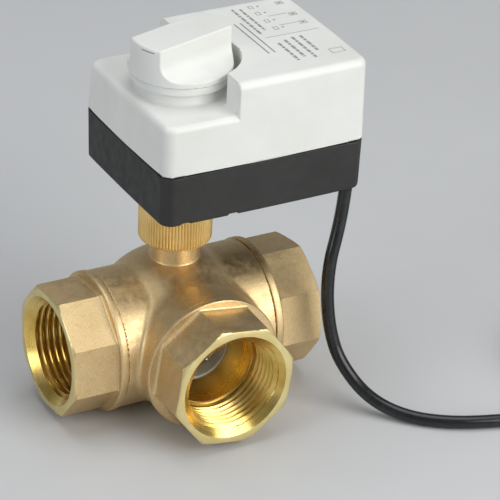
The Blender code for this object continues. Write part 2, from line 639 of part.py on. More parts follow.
def build_gear_train(mats, rotor):
    nylon = mats["gear_plastic"]
    low_at, mid_at, motor_at, lean, rise = gear_places()

    output = gear_disc("output_gear", TEETH_OUTPUT, LAYER[0], LAYER[0] + LAYER_T, 0.0, nylon, (0, 0))
    join(output, rod("hub", 6.0, LAYER[0] + 1, LAYER[0] + 7.5, nylon, steps=24))
    bored(output, SHAFT_R + GAP, (0, 0), LAYER[0], LAYER[0] + 8, nylon)
    output.parent = rotor

    bearing = math.pi
    phase = meshing_phase(TEETH_PINION, TEETH_OUTPUT, 0.0, bearing)
    low = gear_disc("low_speed_gear", TEETH_PINION, LAYER[0], LAYER[1] + 1.0, phase, nylon, low_at)
    wheel = gear_disc("wheel", TEETH_WHEEL, LAYER[1], LAYER[1] + LAYER_T, 0.0, nylon, low_at)
    join(low, wheel)
    bored(low, AXLE_R + GAP, low_at, LAYER[0], LAYER[2], nylon)

    phase = meshing_phase(TEETH_PINION, TEETH_WHEEL, 0.0, lean + math.pi)
    mid = gear_disc("mid_speed_gear", TEETH_PINION, LAYER[1], LAYER[2] + 1.0, phase, nylon, mid_at)
    wheel = gear_disc("wheel", TEETH_WHEEL, LAYER[2], LAYER[2] + LAYER_T - 0.4, 0.0, nylon, mid_at)
    join(mid, wheel)
    bored(mid, AXLE_R + GAP, mid_at, LAYER[1], LAYER[2] + 4, nylon)

    phase = meshing_phase(TEETH_PINION, TEETH_WHEEL, 0.0, rise + math.pi)
    pinion = gear_disc("motor_pinion", TEETH_PINION, LAYER[2], LAYER[2] + LAYER_T, phase, mats["machined_brass"],
                       motor_at)
    join(pinion, rod("rotor_shaft", 1.6, LAYER[2] + 1, PLATE_Z0 + PLATE_T + 6, mats["steel"], motor_at, 16))

    for name, at, z0 in (("low_gear_axle", low_at, BASE_Z0 + 2.7), ("mid_gear_axle", mid_at, BASE_Z0 + 2.7)):
        rod(name, AXLE_R, z0, PLATE_Z0 + PLATE_T + 0.5, mats["steel"], at, 14)


def build_plate_and_motor(mats):
    steel = mats["steel"]
    low_at, mid_at, motor_at, _, _ = gear_places()
    x0, x1, half = -14.0, 48.4, 16.9
    outline = [(x0, -half), (x1, -half), (x1, half), (x0, half)]
    plate = lofted("bearing_plate", [(PLATE_Z0, outline), (PLATE_Z0 + PLATE_T, outline)], steel, smooth=False)
    holes = [rod("hole", SHAFT_R + GAP, PLATE_Z0 - 1, PLATE_Z0 + 3, steel, (0, 0), 24)]
    for at in (low_at, mid_at):
        holes.append(rod("hole", AXLE_R + GAP, PLATE_Z0 - 1, PLATE_Z0 + 3, steel, at, 14))
    holes.append(rod("hole", 4.0, PLATE_Z0 - 1, PLATE_Z0 + 3, steel, motor_at, 20))
    cut(plate, *holes)
    pillars = ((-11.0, -13.8), (-11.0, 13.8), (46.0, -15.5), (20.0, 14.6))
    for index, at in enumerate(pillars, start=1):
        turned("plate_pillar_%d" % index, [
            (0, BASE_Z0 + 2.7), (2.2, BASE_Z0 + 2.7), (2.2, PLATE_Z0 - GAP), (0, PLATE_Z0 - GAP)],
            steel, 14, location=(*at, 0))

    z0 = PLATE_Z0 + PLATE_T + GAP
    motor = turned("motor_can", [
        (0, z0), (MOTOR_R - 0.6, z0), (MOTOR_R, z0 + 0.6), (MOTOR_R, z0 + MOTOR_H - 0.8),
        (MOTOR_R - 0.8, z0 + MOTOR_H), (0, z0 + MOTOR_H)], steel, 32, location=(*motor_at, 0))
    way = rod("rotor_way", 1.6 + GAP, z0 - 1, z0 + 7, steel, motor_at, 16)
    cut(motor, way)


# ================================================================ cams, switches, electronics
def cam_outline(lobe):
    """Round cam of 8 mm radius with a quarter-turn flat of smaller radius starting at the lobe."""
    high = arc(8.2, lobe + 60, lobe + 330, 14)
    low = arc(6.9, lobe - 18, lobe + 48, 5)
    return high + low


def build_limit_switches(mats, rotor):
    """Two cams on the shaft, each beside a microswitch whose lever pivots at its -X end."""
    first_foot = PLATE_Z0 + PLATE_T + 0.6
    for index, (name, lobe, side) in enumerate((("open", 20.0, -1), ("closed", 200.0, 1))):
        foot = first_foot + index * 6.4
        outline = cam_outline(lobe)
        cam = lofted(name + "_cam", [(foot, outline), (foot + 3.2, outline)], mats["gear_plastic"])
        bored(cam, SHAFT_R + GAP, (0, 0), foot, foot + 4, mats["gear_plastic"])
        cam.parent = rotor
        near, far = sorted((side * SWITCH_Y, side * (SWITCH_Y + 6.4)))
        block(name + "_switch", (-7.0, near, foot - 0.3), (6.0, far, foot + 5.2), mats["black_plastic"])
        block(name + "_switch_lever", (-0.5, -0.3, foot + 0.3), (LEVER_L, 0.3, foot + 2.9), mats["steel"],
              location=(-6.1, side * LEVER_Y, 0))


def build_electronics(mats):
    board_z = AXIS_Z + 91.6
    block("circuit_board", (24.0, -24.0, board_z), (49.0, 16.5, board_z + 1.2), mats["board_green"])
    block("film_capacitor", (26.0, 3.5, board_z - 12.3), (34.0, 15.5, board_z - GAP), mats["component_blue"])
    block("terminal_block", (42.5, 3.5, board_z - 10.3), (48.5, 15.5, board_z - GAP), mats["black_plastic"])
    block("relay", (27.0, -16.0, board_z + 1.2 + GAP), (42.0, -6.0, board_z + 4.6), mats["black_plastic"])


# ================================================================ cable
def smooth_route(points, spacing):
    """Points of equal spacing along a Catmull-Rom curve through the route."""
    route = [Vector(point) for point in points]
    ends = [route[0] * 2 - route[1]] + route + [route[-1] * 2 - route[-2]]
    fine = []
    for a, b, c, d in zip(ends, ends[1:], ends[2:], ends[3:]):
        for step in range(12):
            t = step / 12
            fine.append(0.5 * (2 * b + (c - a) * t + (2 * a - 5 * b + 4 * c - d) * t * t
                               + (3 * b - a - 3 * c + d) * t ** 3))
    fine.append(route[-1])
    walked = [0.0]
    for a, b in zip(fine, fine[1:]):
        walked.append(walked[-1] + (b - a).length)
    count = round(walked[-1] / spacing)
    result = []
    index = 0
    for k in range(count + 1):
        target = walked[-1] * k / count
        while index < len(fine) - 2 and walked[index + 1] < target:
            index += 1
        share = (target - walked[index]) / (walked[index + 1] - walked[index])
        result.append(fine[index].lerp(fine[index + 1], min(share, 1.0)))
    return result


def tube(name, points, radius, material, resolution):
    curve = bpy.data.curves.new(name, "CURVE")
    curve.dimensions = "3D"
    curve.bevel_depth = radius * MM
    curve.bevel_resolution = resolution
    curve.use_fill_caps = True
    spline = curve.splines.new("POLY")
    spline.points.add(len(points) - 1)
    for knot, point in zip(spline.points, points):
        knot.co = (*(Vector(point) * MM), 1.0)
    curve.materials.append(material)
    obj = bpy.data.objects.new(name, curve)
    bpy.context.scene.collection.objects.link(obj)
    return obj


def build_cable(mats):
    black = mats["cable_black"]
    grommet_z = CABLE_EXIT[2]
    turned("cable_grommet", [
        (0, grommet_z), (2.3, grommet_z), (2.3, BASE_Z0 + 2.6), (2.8, BASE_Z0 + 2.6),
        (2.8, BASE_Z0 + 5.0), (2.4, BASE_Z0 + 12.0), (0, BASE_Z0 + 12.0)],
        mats["black_plastic"], 20, location=(CABLE_EXIT[0], CABLE_EXIT[1], 0))
    tube("power_cable", smooth_route(CABLE_ROUTE, CABLE_D * 1.2), CABLE_D / 2, black, 2)
    coil_outline = []
    half_w = CABLE_D * COIL_TURNS_WIDE / 2
    top = CABLE_D * COIL_TURNS_HIGH
    corner = CABLE_D / 2
    for cx, cy, start in ((half_w - corner, corner, -90), (half_w - corner, top - corner, 0),
                          (-half_w + corner, top - corner, 90), (-half_w + corner, corner, 180)):
        coil_outline += [(COIL_MEAN_R + x, y) for x, y in arc(corner, start, start + 90, 1, (cx, cy))]
    turned("cable_coil", coil_outline, black, 28, location=(*COIL_CENTRE, FLOOR_GAP))
    turn = math.radians(CORE_ANGLE)
    outward = Vector((math.cos(turn), math.sin(turn), 0))
    along = Vector((-math.sin(turn), math.cos(turn), 0))
    coil_edge = COIL_MEAN_R + half_w + GAP + CORE_R
    for index, (name, key) in enumerate((("core_live", "wire_brown"), ("core_neutral", "wire_blue"),
                                         ("core_signal", "wire_yellow"))):
        start = Vector((*COIL_CENTRE, 0)) + outward * (coil_edge + 2.0 * index)
        spread = outward * (index - 1) * 1.5
        route = [start + Vector((0, 0, 2.0)),
                 start + along * CORE_L / 2 + spread / 3 + Vector((0, 0, 1.2)),
                 start + along * CORE_L + spread + Vector((0, 0, 0.9))]
        tube(name, smooth_route(route, CORE_R * 4), CORE_R, mats[key], 2)


def main():
    clear_scene()
    mats = make_materials()
    rotor = bpy.data.objects.new("output_axis", None)
    bpy.context.scene.collection.objects.link(rotor)
    build_valve_body(mats)
    build_connectors(mats)
    build_ball_group(mats, rotor)
    build_coupling(mats)
    build_base(mats)
    build_cover(mats)
    build_case_hardware(mats)
    build_knob(mats, rotor)
    build_gear_train(mats, rotor)
    build_plate_and_motor(mats)
    build_limit_switches(mats, rotor)
    build_electronics(mats)
    build_cable(mats)


main()
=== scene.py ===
"""Looks of the motorised three-way brass ball valve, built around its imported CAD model.

Lengths are in millimetres and become metres when a mesh is made. The stem is the Z axis, the
run ports lie along X, the common port faces -Y, and Z = 0 is the standing surface.
"""
import math

import bpy
import numpy as np
from mathutils import Matrix, Vector


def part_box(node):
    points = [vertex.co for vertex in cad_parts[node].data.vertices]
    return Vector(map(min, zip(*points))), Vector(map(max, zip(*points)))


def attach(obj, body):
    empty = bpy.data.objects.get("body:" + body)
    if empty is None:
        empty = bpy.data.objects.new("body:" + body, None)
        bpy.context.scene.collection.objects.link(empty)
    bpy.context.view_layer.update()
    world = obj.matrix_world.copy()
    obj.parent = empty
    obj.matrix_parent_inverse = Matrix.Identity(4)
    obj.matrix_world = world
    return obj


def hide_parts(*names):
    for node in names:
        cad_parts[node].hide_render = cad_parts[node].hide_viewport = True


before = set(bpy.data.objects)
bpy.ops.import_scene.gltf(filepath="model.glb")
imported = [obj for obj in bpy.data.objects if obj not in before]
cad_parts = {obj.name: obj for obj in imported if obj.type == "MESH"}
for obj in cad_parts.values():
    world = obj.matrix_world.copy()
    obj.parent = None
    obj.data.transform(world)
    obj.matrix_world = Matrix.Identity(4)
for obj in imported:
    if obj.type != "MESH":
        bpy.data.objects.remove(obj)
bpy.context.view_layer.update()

MM = 0.001


def box_mm(node):
    """Lowest and highest corner of a CAD node at rest, in millimetres."""
    low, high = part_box(node)
    return np.array(low) / MM, np.array(high) / MM


# ---------------------------------------------------------------- sizes read from the frame
END_FACE = box_mm("end_connector_right")[1][0]
AXIS_Z = float(np.mean([corner[2] for corner in box_mm("end_connector_right")]))
BODY_LOW, BODY_HIGH = box_mm("valve_body")
FACE = BODY_HIGH[0]                       # machined face of a body arm
JOINT = FACE + 0.3                        # a connector's flange sits here
NECK_TOP_Z = BODY_HIGH[2]
NUT_LOW, NUT_HIGH = box_mm("coupling_nut")
BASE_LOW, BASE_HIGH = box_mm("base_housing")
COVER_LOW, COVER_HIGH = box_mm("actuator_cover")
KNOB_LOW, KNOB_HIGH = box_mm("manual_knob")
COLLAR_LOW, COLLAR_HIGH = box_mm("knob_collar")

# ---------------------------------------------------------------- valve body and connectors
DOME_R = 27.5
BARREL_R = 23.2
SOCKET_R = 20.0
SOCKET_DEPTH = 8.6
CHAMBER_R = 18.3
FILLET = 0.9                              # where the arms grow out of the round middle
NECK_R = 8.3
NECK_FOOT_R = 10.4
NECK_FOOT_DROP = 16.2                     # neck top down to the step at its foot
NECK_LIP = 1.4                            # how far the top flange of the neck stands out
NECK_LIP_H = 2.8
SHOULDER_Z = AXIS_Z + 10                  # inside the dome, where the neck's shapes begin
STEM_WAY_R = 5.1
GLAND_R = 7.3
GLAND_Z0, GLAND_Z1 = AXIS_Z + 12, AXIS_Z + 21.6
REAR_POCKET_R = 15.5
REAR_POCKET_END = 20.3
SOCKET_CHAMFER = 0.8
FLATS = 41.0
FLANGE_R = 23.6
FLANGE_W = 2.4
CONNECTOR_L = END_FACE - JOINT
SPIGOT_R = SOCKET_R - 0.3
SPIGOT_L = 8.0
GROOVE_HALF = 1.3                         # O-ring groove in the spigot
GROOVE_DEPTH = 1.8
JOINT_SINK = 0.25                         # the flange all but touches the body's machined face
END_CHAMFER = 1.9                         # height of the turned cone at the end of the octagon
END_CONE_SLOPE = 1.95
FACE_CORNER_R = FLATS / 2 + 0.6           # corners of the octagon at the end face
PITCH = 2.309                             # G1 pipe thread
THREAD_SLICES = 12                        # rows of points in each turn of the thread
THREAD_FOOT_R = 14.4
THREAD_ROOT_R = 16.6
THREAD_CREST_R = 15.2
THREAD_TURNS = 6
MOUTH_R = 18.5
BORE_R = 11.0
CAST, TURNED, FACED = 0, 1, 2             # material slots of a connector
OCTAGON_TURN = {"left": 4.0, "front": -8.0, "right": -9.0}     # degrees, as screwed home

# ---------------------------------------------------------------- nut and actuator
NUT_RIBS = 72
NUT_RIB_DEPTH = 0.42
NUT_END_STEP = 1.5                        # plain ends inside the ribs
NUT_CHEST_R = 10.2                        # room for the spigot's foot
CASE_BOW = 0.45                           # outward bow of each wall at mid length
CASE_X0, CASE_X1 = COVER_LOW[0] + CASE_BOW, COVER_HIGH[0] - CASE_BOW
CASE_Y0, CASE_Y1 = COVER_LOW[1] + CASE_BOW, COVER_HIGH[1] - CASE_BOW
CASE_CORNER = 3.8
WALL = 2.0
BASE_Z0, PART_Z, TOP_Z = BASE_LOW[2], COVER_LOW[2], COVER_HIGH[2]
DECK_Z = TOP_Z - 11.1                     # low deck under the knob
STEP_X = 7.0                              # where the raised deck begins
BAY_R = 19.4                              # round bay that the knob turns in
DRAFT = 0.3
BACK_LEAN = 3.0                           # how far the cover's back wall leans in at its top
SCREWS = ((-11.2, -20.4), (-11.2, 24.4), (20.0, -20.4), (47.0, 24.4))
BOSS_R = 3.0
SCREW_WAY_R = 1.7
SCREW_HEAD_WAY_R = 2.9
TOP_EDGE_R, DECK_EDGE_R, BAY_EDGE_R = 2.6, 2.0, 1.0
KNOB_BOSS_R = 15.0
KNOB_BOSS_H = 3.6
FLOOR_T = WALL + 0.4
SPIGOT_WAY_R = 10.2
CABLE_WAY_R = 2.6
NOTCHES_X = (-10.5, 6.5)                  # small moulding notches under the front wall
SHAFT_R = 4.4
KNOB_R = 17.0
KNOB_ANGLE = math.radians(16)
GRIP_HALF = 7.0
GRIP_FILLET = 5.6                         # hollow between the grip's wall and the rim
KNOB_RIM = 1.9
KNOB_SOCKET_H = 7.5
POINTER_SPAN = (math.radians(196), math.radians(213))

# ---------------------------------------------------------------- supply cable
CABLE_D = 4.4
CABLE_STEP = 2.4                          # spacing of the points along the cable
COIL_STEP = 6                             # degrees between the points round the coil
CORE_R = 0.8
STRAND_R = 0.45
CORES = (("core_live", "wire_brown"), ("core_neutral", "wire_blue"), ("core_signal", "wire_yellow"))
# centre line from the base down to the standing surface, the same points as in the CAD model
CABLE_ROUTE = (
    (49.9, -23.7, 75.3), (49.0, -24.0, 68.0), (47.1, -25.0, 60.0), (44.4, -26.3, 51.0),
    (43.5, -26.9, 42.0), (43.4, -28.0, 34.0), (43.8, -29.9, 26.5), (45.2, -32.8, 18.5),
    (48.1, -37.4, 11.5), (51.5, -43.2, 6.6), (56.1, -49.5, 3.6), (61.8, -56.0, 2.4),
    (68.6, -61.7, 2.25), (76.5, -66.0, 2.25), (85.1, -69.1, 2.25), (94.3, -72.0, 2.25),
    (103.9, -74.9, 2.25), (113.9, -78.1, 2.25), (126.3, -81.9, 2.25),
)
COIL_CENTRE = (140.7, -52.1)
COIL_INNER_R = 23.6
COIL_OUTER_R = 28.0
REST_Z = 2.25                             # centre line of the cable lying on the floor
COIL_ENTRY = 244.2                        # degrees round the coil where the cable arrives
COIL_EXIT = 368.0 + 3 * 360.0


# ================================================================ camera and cable first
def make_camera():
    forward = Vector((0.43165, 0.76114, -0.48409)).normalized()
    level_right = forward.cross(Vector((0, 0, 1))).normalized()
    level_up = level_right.cross(forward)
    roll = math.radians(2.73)
    right = level_right * math.cos(roll) + level_up * math.sin(roll)
    up = level_up * math.cos(roll) - level_right * math.sin(roll)
    data = bpy.data.cameras.new("camera")
    data.lens = 216.0
    data.sensor_width = 36.0
    data.clip_end = 20.0
    camera = bpy.data.objects.new("camera", data)
    bpy.context.scene.collection.objects.link(camera)
    place = Matrix((right, up, -forward)).transposed().to_4x4()
    place.translation = Vector((-404.37, -763.52, 530.38)) * MM
    camera.matrix_world = place
    bpy.context.scene.camera = camera


def smooth_route(points, spacing):
    """Points of equal spacing along a Catmull-Rom curve through the route."""
    route = [Vector(point) for point in points]
    ends = [route[0] * 2 - route[1]] + route + [route[-1] * 2 - route[-2]]
    fine = []
    for a, b, c, d in zip(ends, ends[1:], ends[2:], ends[3:]):
        for step in range(12):
            t = step / 12
            fine.append(0.5 * (2 * b + (c - a) * t + (2 * a - 5 * b + 4 * c - d) * t * t
                               + (3 * b - a - 3 * c + d) * t ** 3))
    fine.append(route[-1])
    walked = [0.0]
    for a, b in zip(fine, fine[1:]):
        walked.append(walked[-1] + (b - a).length)
    count = round(walked[-1] / spacing)
    result = []
    index = 0
    for k in range(count + 1):
        target = walked[-1] * k / count
        while index < len(fine) - 2 and walked[index + 1] < target:
            index += 1
        share = (target - walked[index]) / (walked[index + 1] - walked[index])
        result.append(fine[index].lerp(fine[index + 1], min(share, 1.0)))
    return result


def eased(value, start, end):
    """0 before the start, 1 after the end, and smooth between them."""
    t = min(max((value - start) / (end - start), 0.0), 1.0)
    return t * t * (3 - 2 * t)


def coil_point(angle):
    """Centre of the cable at an angle walked round the coil, in degrees.

    The cable fills the outer and then the inner turn on the floor, climbs, goes round the inner
    and the outer turn on top, and comes down outside them.
    """
    step = COIL_OUTER_R - COIL_INNER_R
    entry = COIL_ENTRY
    inward = math.radians(90 * eased(angle, entry + 360, entry + 416))
    climb = math.radians(90 * eased(angle, entry + 720, entry + 776))
    descent = math.radians(90 * eased(angle, COIL_EXIT - 62, COIL_EXIT - 8))
    radius = COIL_OUTER_R + (step + 0.7) * (1 - eased(angle, entry - 1, entry + 56))
    radius -= step * (1 - math.cos(inward))
    radius += step * eased(angle, entry + 1030, entry + 1078)
    radius += (step + 0.2) * math.sin(descent)
    height = REST_Z + step * math.sin(climb) - step * (1 - math.cos(descent))
    turn = math.radians(angle)
    return Vector((COIL_CENTRE[0] + radius * math.cos(turn),
                   COIL_CENTRE[1] + radius * math.sin(turn), height))


def tube(name, points, radius, material):
    curve = bpy.data.curves.new(name, "CURVE")
    curve.dimensions = "3D"
    curve.bevel_depth = radius * MM
    curve.bevel_resolution = 6
    curve.use_fill_caps = True
    spline = curve.splines.new("POLY")
    spline.points.add(len(points) - 1)
    for knot, point in zip(spline.points, points):
        knot.co = (*(Vector(point) * MM), 1.0)
    spline.use_smooth = True
    curve.materials.append(material)
    obj = bpy.data.objects.new(name, curve)
    bpy.context.scene.collection.objects.link(obj)
    return obj


def make_cable(mats):
    points = smooth_route(CABLE_ROUTE, CABLE_STEP)
    angle = COIL_ENTRY + COIL_STEP
    while angle <= COIL_EXIT:
        points.append(coil_point(angle))
        angle += COIL_STEP
    points = smooth_route(points[::2] + [points[-1]], CABLE_STEP)
    cable = tube("supply_cable", points, CABLE_D / 2, mats["cable_sheath"])
    pieces = make_cores(mats, points)
    for piece in [cable] + pieces:
        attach(piece, "valve")
    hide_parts("power_cable", "cable_coil")
    for piece in pieces[::2]:
        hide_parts(piece.name.replace("flex_", ""))


def make_cores(mats, points):
    """Three insulated cores fanned out of the cable's end, each with a bare end of strands."""
    end = points[-1]
    along = (points[-1] - points[-3]).normalized()
    outward = Vector((along.y, -along.x, 0))
    pieces = []
    for index, (name, key) in enumerate(CORES):
        side = index - 1
        lift = 0.75 if side == 0 else -0.45
        start = end - along * 3 + outward * side * 0.9 + Vector((0, 0, lift))
        middle = end + along * 5 + outward * side * 2.0 + Vector((0, 0, lift * 0.6))
        tip = end + along * 15.5 + outward * side * 4.2
        tip.z = CORE_R + 0.15
        route = smooth_route([start, start + along * 3.4, middle, tip], 1.2)
        pieces.append(tube("flex_" + name, route, CORE_R, mats[key]))
        heading = route[-1] - route[-2]
        heading.z = 0
        heading.normalize()
        strands = smooth_route([tip - heading * 1.5, tip + heading * 2.0, tip + heading * 5.5], 1.0)
        pieces.append(tube("bare_" + name, strands, STRAND_R, mats["copper_strands"]))
    return pieces


# ================================================================ material helpers
class Nodes:
    """Short names for adding and linking nodes of one material."""

    def __init__(self, name):
        self.material = bpy.data.materials.new(name)
        self.material.use_nodes = True
        self.tree = self.material.node_tree
        self.shader = self.tree.nodes["Principled BSDF"]
        self.place = self.add("ShaderNodeTexCoord").outputs["Object"]

    def add(self, kind, **settings):
        node = self.tree.nodes.new(kind)
        for key, value in settings.items():
            setattr(node, key, value)
        return node

    def link(self, output, socket):
        self.tree.links.new(output, socket)

    def noise(self, scale, detail=3.0, roughness=0.55, place=None):
        node = self.add("ShaderNodeTexNoise")
        node.inputs["Scale"].default_value = scale
        node.inputs["Detail"].default_value = detail
        node.inputs["Roughness"].default_value = roughness
        self.link(place or self.place, node.inputs["Vector"])
        return node.outputs["Fac"]

    def cells(self, scale):
        node = self.add("ShaderNodeTexVoronoi")
        node.inputs["Scale"].default_value = scale
        self.link(self.place, node.inputs["Vector"])
        return node.outputs["Distance"]

    def math(self, operation, first, second):
        node = self.add("ShaderNodeMath", operation=operation)
        for socket, value in zip(node.inputs, (first, second)):
            if isinstance(value, (int, float)):
                socket.default_value = value
            else:
                self.link(value, socket)
        return node.outputs[0]

    def ramp(self, factor, stops):
        """Colour (or grey) that depends on a factor: stops are (position, colour or number)."""
        node = self.add("ShaderNodeValToRGB")
        elements = node.color_ramp.elements
        while len(elements) < len(stops):
            elements.new(0.5)
        for element, (position, colour) in zip(elements, stops):
            element.position = position
            if isinstance(colour, (int, float)):
                colour = (colour, colour, colour)
            element.color = (*colour, 1.0)
        self.link(factor, node.inputs["Fac"])
        return node.outputs["Color"]

    def mixed(self, factor, first, second):
        node = self.add("ShaderNodeMix", data_type="RGBA")
        for socket, value in ((node.inputs[0], factor), (node.inputs[6], first), (node.inputs[7], second)):
            if isinstance(value, tuple):
                socket.default_value = (*value, 1.0)
            elif isinstance(value, (int, float)):
                socket.default_value = value
            else:
                self.link(value, socket)
        return node.outputs[2]

    def bump(self, height, strength, distance, before=None):
        node = self.add("ShaderNodeBump")
        node.inputs["Strength"].default_value = strength
        node.inputs["Distance"].default_value = distance * MM
        self.link(height, node.inputs["Height"])
        if before is not None:
            self.link(before, node.inputs["Normal"])
        return node.outputs["Normal"]

    def finish(self, colour=None, roughness=None, normal=None, **fixed):
        for value, name in ((colour, "Base Color"), (roughness, "Roughness"), (normal, "Normal")):
            if value is not None:
                self.link(value, self.shader.inputs[name])
        for name, value in fixed.items():
            self.shader.inputs[name.replace("_", " ")].default_value = value
        return self.material


def cast_brass(name):
    """Shot-blasted casting: matte grain over a cloudy tone."""
    n = Nodes(name)
    light, dark = (0.82, 0.63, 0.35), (0.66, 0.48, 0.24)
    cloud = n.noise(70, 4)
    grain = n.noise(2600, 2, 0.7)
    tone = n.ramp(cloud, ((0.3, dark), (0.68, light)))
    fleck = n.ramp(grain, ((0.35, (0.46, 0.32, 0.15)), (0.62, (0.88, 0.70, 0.42))))
    colour = n.mixed(0.35, tone, fleck)
    roughness = n.ramp(n.noise(420, 3), ((0.3, 0.40), (0.7, 0.56)))
    normal = n.bump(n.cells(1500), 0.35, 0.05, n.bump(grain, 0.45, 0.05))
    return n.finish(colour, roughness, normal, Metallic=1.0)


def turned_brass(name, axis, centre, dark=(0.62, 0.40, 0.08), light=(0.90, 0.66, 0.22), rough=(0.22, 0.36)):
    """Machined brass: fine tool lines run round the axis, with slight staining."""
    n = Nodes(name)
    split = n.add("ShaderNodeSeparateXYZ")
    moved = n.add("ShaderNodeVectorMath", operation="SUBTRACT")
    moved.inputs[1].default_value = Vector(centre) * MM
    n.link(n.place, moved.inputs[0])
    n.link(moved.outputs[0], split.inputs[0])
    others = [key for key in "XYZ" if key != axis]
    squares = [n.math("POWER", split.outputs[key], 2.0) for key in others]
    radius = n.math("SQRT", n.math("ADD", *squares), 0.0)
    joined = n.add("ShaderNodeCombineXYZ")
    n.link(radius, joined.inputs[0])
    n.link(split.outputs[axis], joined.inputs[1])
    lines = n.noise(5200, 2, 0.6, joined.outputs[0])
    cloud = n.noise(110, 4)
    colour = n.ramp(cloud, ((0.3, dark), (0.65, light)))
    roughness = n.ramp(n.noise(900, 2, 0.5, joined.outputs[0]), ((0.3, rough[0]), (0.7, rough[1])))
    normal = n.bump(lines, 0.22, 0.03)
    return n.finish(colour, roughness, normal, Metallic=1.0)


def moulded_plastic(name, light, dark, rough, grain, grain_depth):
    """Moulded housing plastic: fine spark-eroded grain, faint handling marks, soft tone changes."""
    n = Nodes(name)
    cloud = n.noise(45, 5)
    colour = n.ramp(cloud, ((0.32, dark), (0.62, light)))
    roughness = n.ramp(n.noise(260, 4), ((0.3, rough[0]), (0.72, rough[1])))
    normal = n.bump(n.noise(grain, 2, 0.6), 0.3, grain_depth, n.bump(n.noise(55, 2), 0.06, 0.4))
    return n.finish(colour, roughness, normal, Specular_IOR_Level=0.5)


def plain_metal(name, light, dark, rough, scale=700):
    """Plated or drawn metal with faint streaks and spots."""
    n = Nodes(name)
    stretched = n.add("ShaderNodeMapping")
    stretched.inputs["Scale"].default_value = (1.0, 1.0, 0.15)
    n.link(n.place, stretched.inputs["Vector"])
    streaks = n.noise(scale, 4, 0.6, stretched.outputs[0])
    colour = n.ramp(streaks, ((0.3, dark), (0.7, light)))
    roughness = n.ramp(n.noise(scale * 2, 3), ((0.3, rough[0]), (0.7, rough[1])))
    return n.finish(colour, roughness, n.bump(streaks, 0.12, 0.02), Metallic=1.0)


def soft_polymer(name, light, dark, rough, scale=1500):
    """Rubber, PTFE or wire insulation: dull mottling and a soft skin."""
    n = Nodes(name)
    mottle = n.noise(scale, 3)
    colour = n.ramp(mottle, ((0.3, dark), (0.7, light)))
    roughness = n.ramp(n.noise(scale / 3, 3), ((0.3, rough[0]), (0.7, rough[1])))
    return n.finish(colour, roughness, n.bump(mottle, 0.2, 0.02), Specular_IOR_Level=0.4)


def circuit_board(name):
    """Green solder mask over faint copper tracks."""
    n = Nodes(name)
    brick = n.add("ShaderNodeTexBrick")
    brick.inputs["Scale"].default_value = 260
    brick.inputs["Mortar Size"].default_value = 0.06
    brick.inputs["Color1"].default_value = (0.012, 0.10, 0.035, 1)
    brick.inputs["Color2"].default_value = (0.010, 0.085, 0.030, 1)
    brick.inputs["Mortar"].default_value = (0.03, 0.19, 0.06, 1)
    n.link(n.place, brick.inputs["Vector"])
    roughness = n.ramp(n.noise(900), ((0.3, 0.25), (0.7, 0.42)))
    return n.finish(brick.outputs["Color"], roughness, n.bump(brick.outputs["Fac"], 0.3, 0.03))


def cable_sheath(name):
    """Extruded PVC sheath: black, slightly glossy, with scuffs and dust."""
    n = Nodes(name)
    dust = n.ramp(n.noise(180, 5), ((0.5, 0.0), (0.75, 0.35)))
    colour = n.mixed(dust, (0.010, 0.011, 0.012), (0.045, 0.047, 0.050))
    roughness = n.ramp(n.noise(500, 4), ((0.3, 0.16), (0.7, 0.30)))
    normal = n.bump(n.noise(1400, 3), 0.12, 0.04, n.bump(n.noise(160, 2), 0.1, 0.2))
    return n.finish(colour, roughness, normal, Specular_IOR_Level=0.5)


def make_materials():
    mats = {
        "cast": cast_brass("brass_casting"),
        "case_white": moulded_plastic("white_housing", (0.80, 0.81, 0.78), (0.74, 0.75, 0.71),
                                      (0.34, 0.48), 1900, 0.03),
        "case_black": moulded_plastic("charcoal_housing", (0.021, 0.021, 0.020), (0.015, 0.015, 0.014),
                                      (0.46, 0.62), 1700, 0.06),
        "nut": turned_brass("nut_brass", "Z", (0, 0, 0),
                            (0.76, 0.53, 0.19), (0.90, 0.67, 0.30), (0.30, 0.44)),
        "faced": turned_brass("faced_brass", "X", (0, 0, AXIS_Z),
                              (0.74, 0.61, 0.27), (0.88, 0.75, 0.38), (0.34, 0.46)),
        "chrome": plain_metal("chromed_ball", (0.72, 0.72, 0.72), (0.60, 0.60, 0.61), (0.06, 0.14)),
        "steel": plain_metal("bright_steel", (0.62, 0.61, 0.59), (0.45, 0.44, 0.43), (0.22, 0.38)),
        "ptfe": soft_polymer("ptfe_white", (0.62, 0.62, 0.60), (0.50, 0.50, 0.48), (0.35, 0.5)),
        "rubber": soft_polymer("seal_rubber", (0.030, 0.030, 0.030), (0.015, 0.015, 0.015), (0.45, 0.65)),
        "gear": soft_polymer("gear_nylon", (0.72, 0.70, 0.60), (0.62, 0.60, 0.50), (0.35, 0.5), 800),
        "board": circuit_board("circuit_board"),
        "blue": soft_polymer("component_blue", (0.05, 0.16, 0.42), (0.03, 0.10, 0.32), (0.3, 0.45)),
        "cable_sheath": cable_sheath("cable_sheath"),
        "wire_brown": soft_polymer("wire_brown", (0.16, 0.06, 0.02), (0.11, 0.04, 0.015), (0.3, 0.42)),
        "wire_blue": soft_polymer("wire_blue", (0.03, 0.13, 0.48), (0.02, 0.09, 0.36), (0.3, 0.42)),
        "wire_yellow": soft_polymer("wire_yellow", (0.70, 0.52, 0.04), (0.58, 0.42, 0.03), (0.3, 0.42)),
        "copper_strands": plain_metal("copper_strands", (0.75, 0.42, 0.27), (0.52, 0.26, 0.15),
                                      (0.2, 0.35), 2500),
        # grey colour of the deck's print, also used for the painted shade of the knob's notch
        "print": soft_polymer("grey_print_and_notch_shade", (0.36, 0.37, 0.37), (0.27, 0.28, 0.28), (0.5, 0.6)),
    }
    for axis in "XY":
        mats["turned_" + axis] = turned_brass("turned_brass_" + axis, axis, (0, 0, AXIS_Z))
    return mats


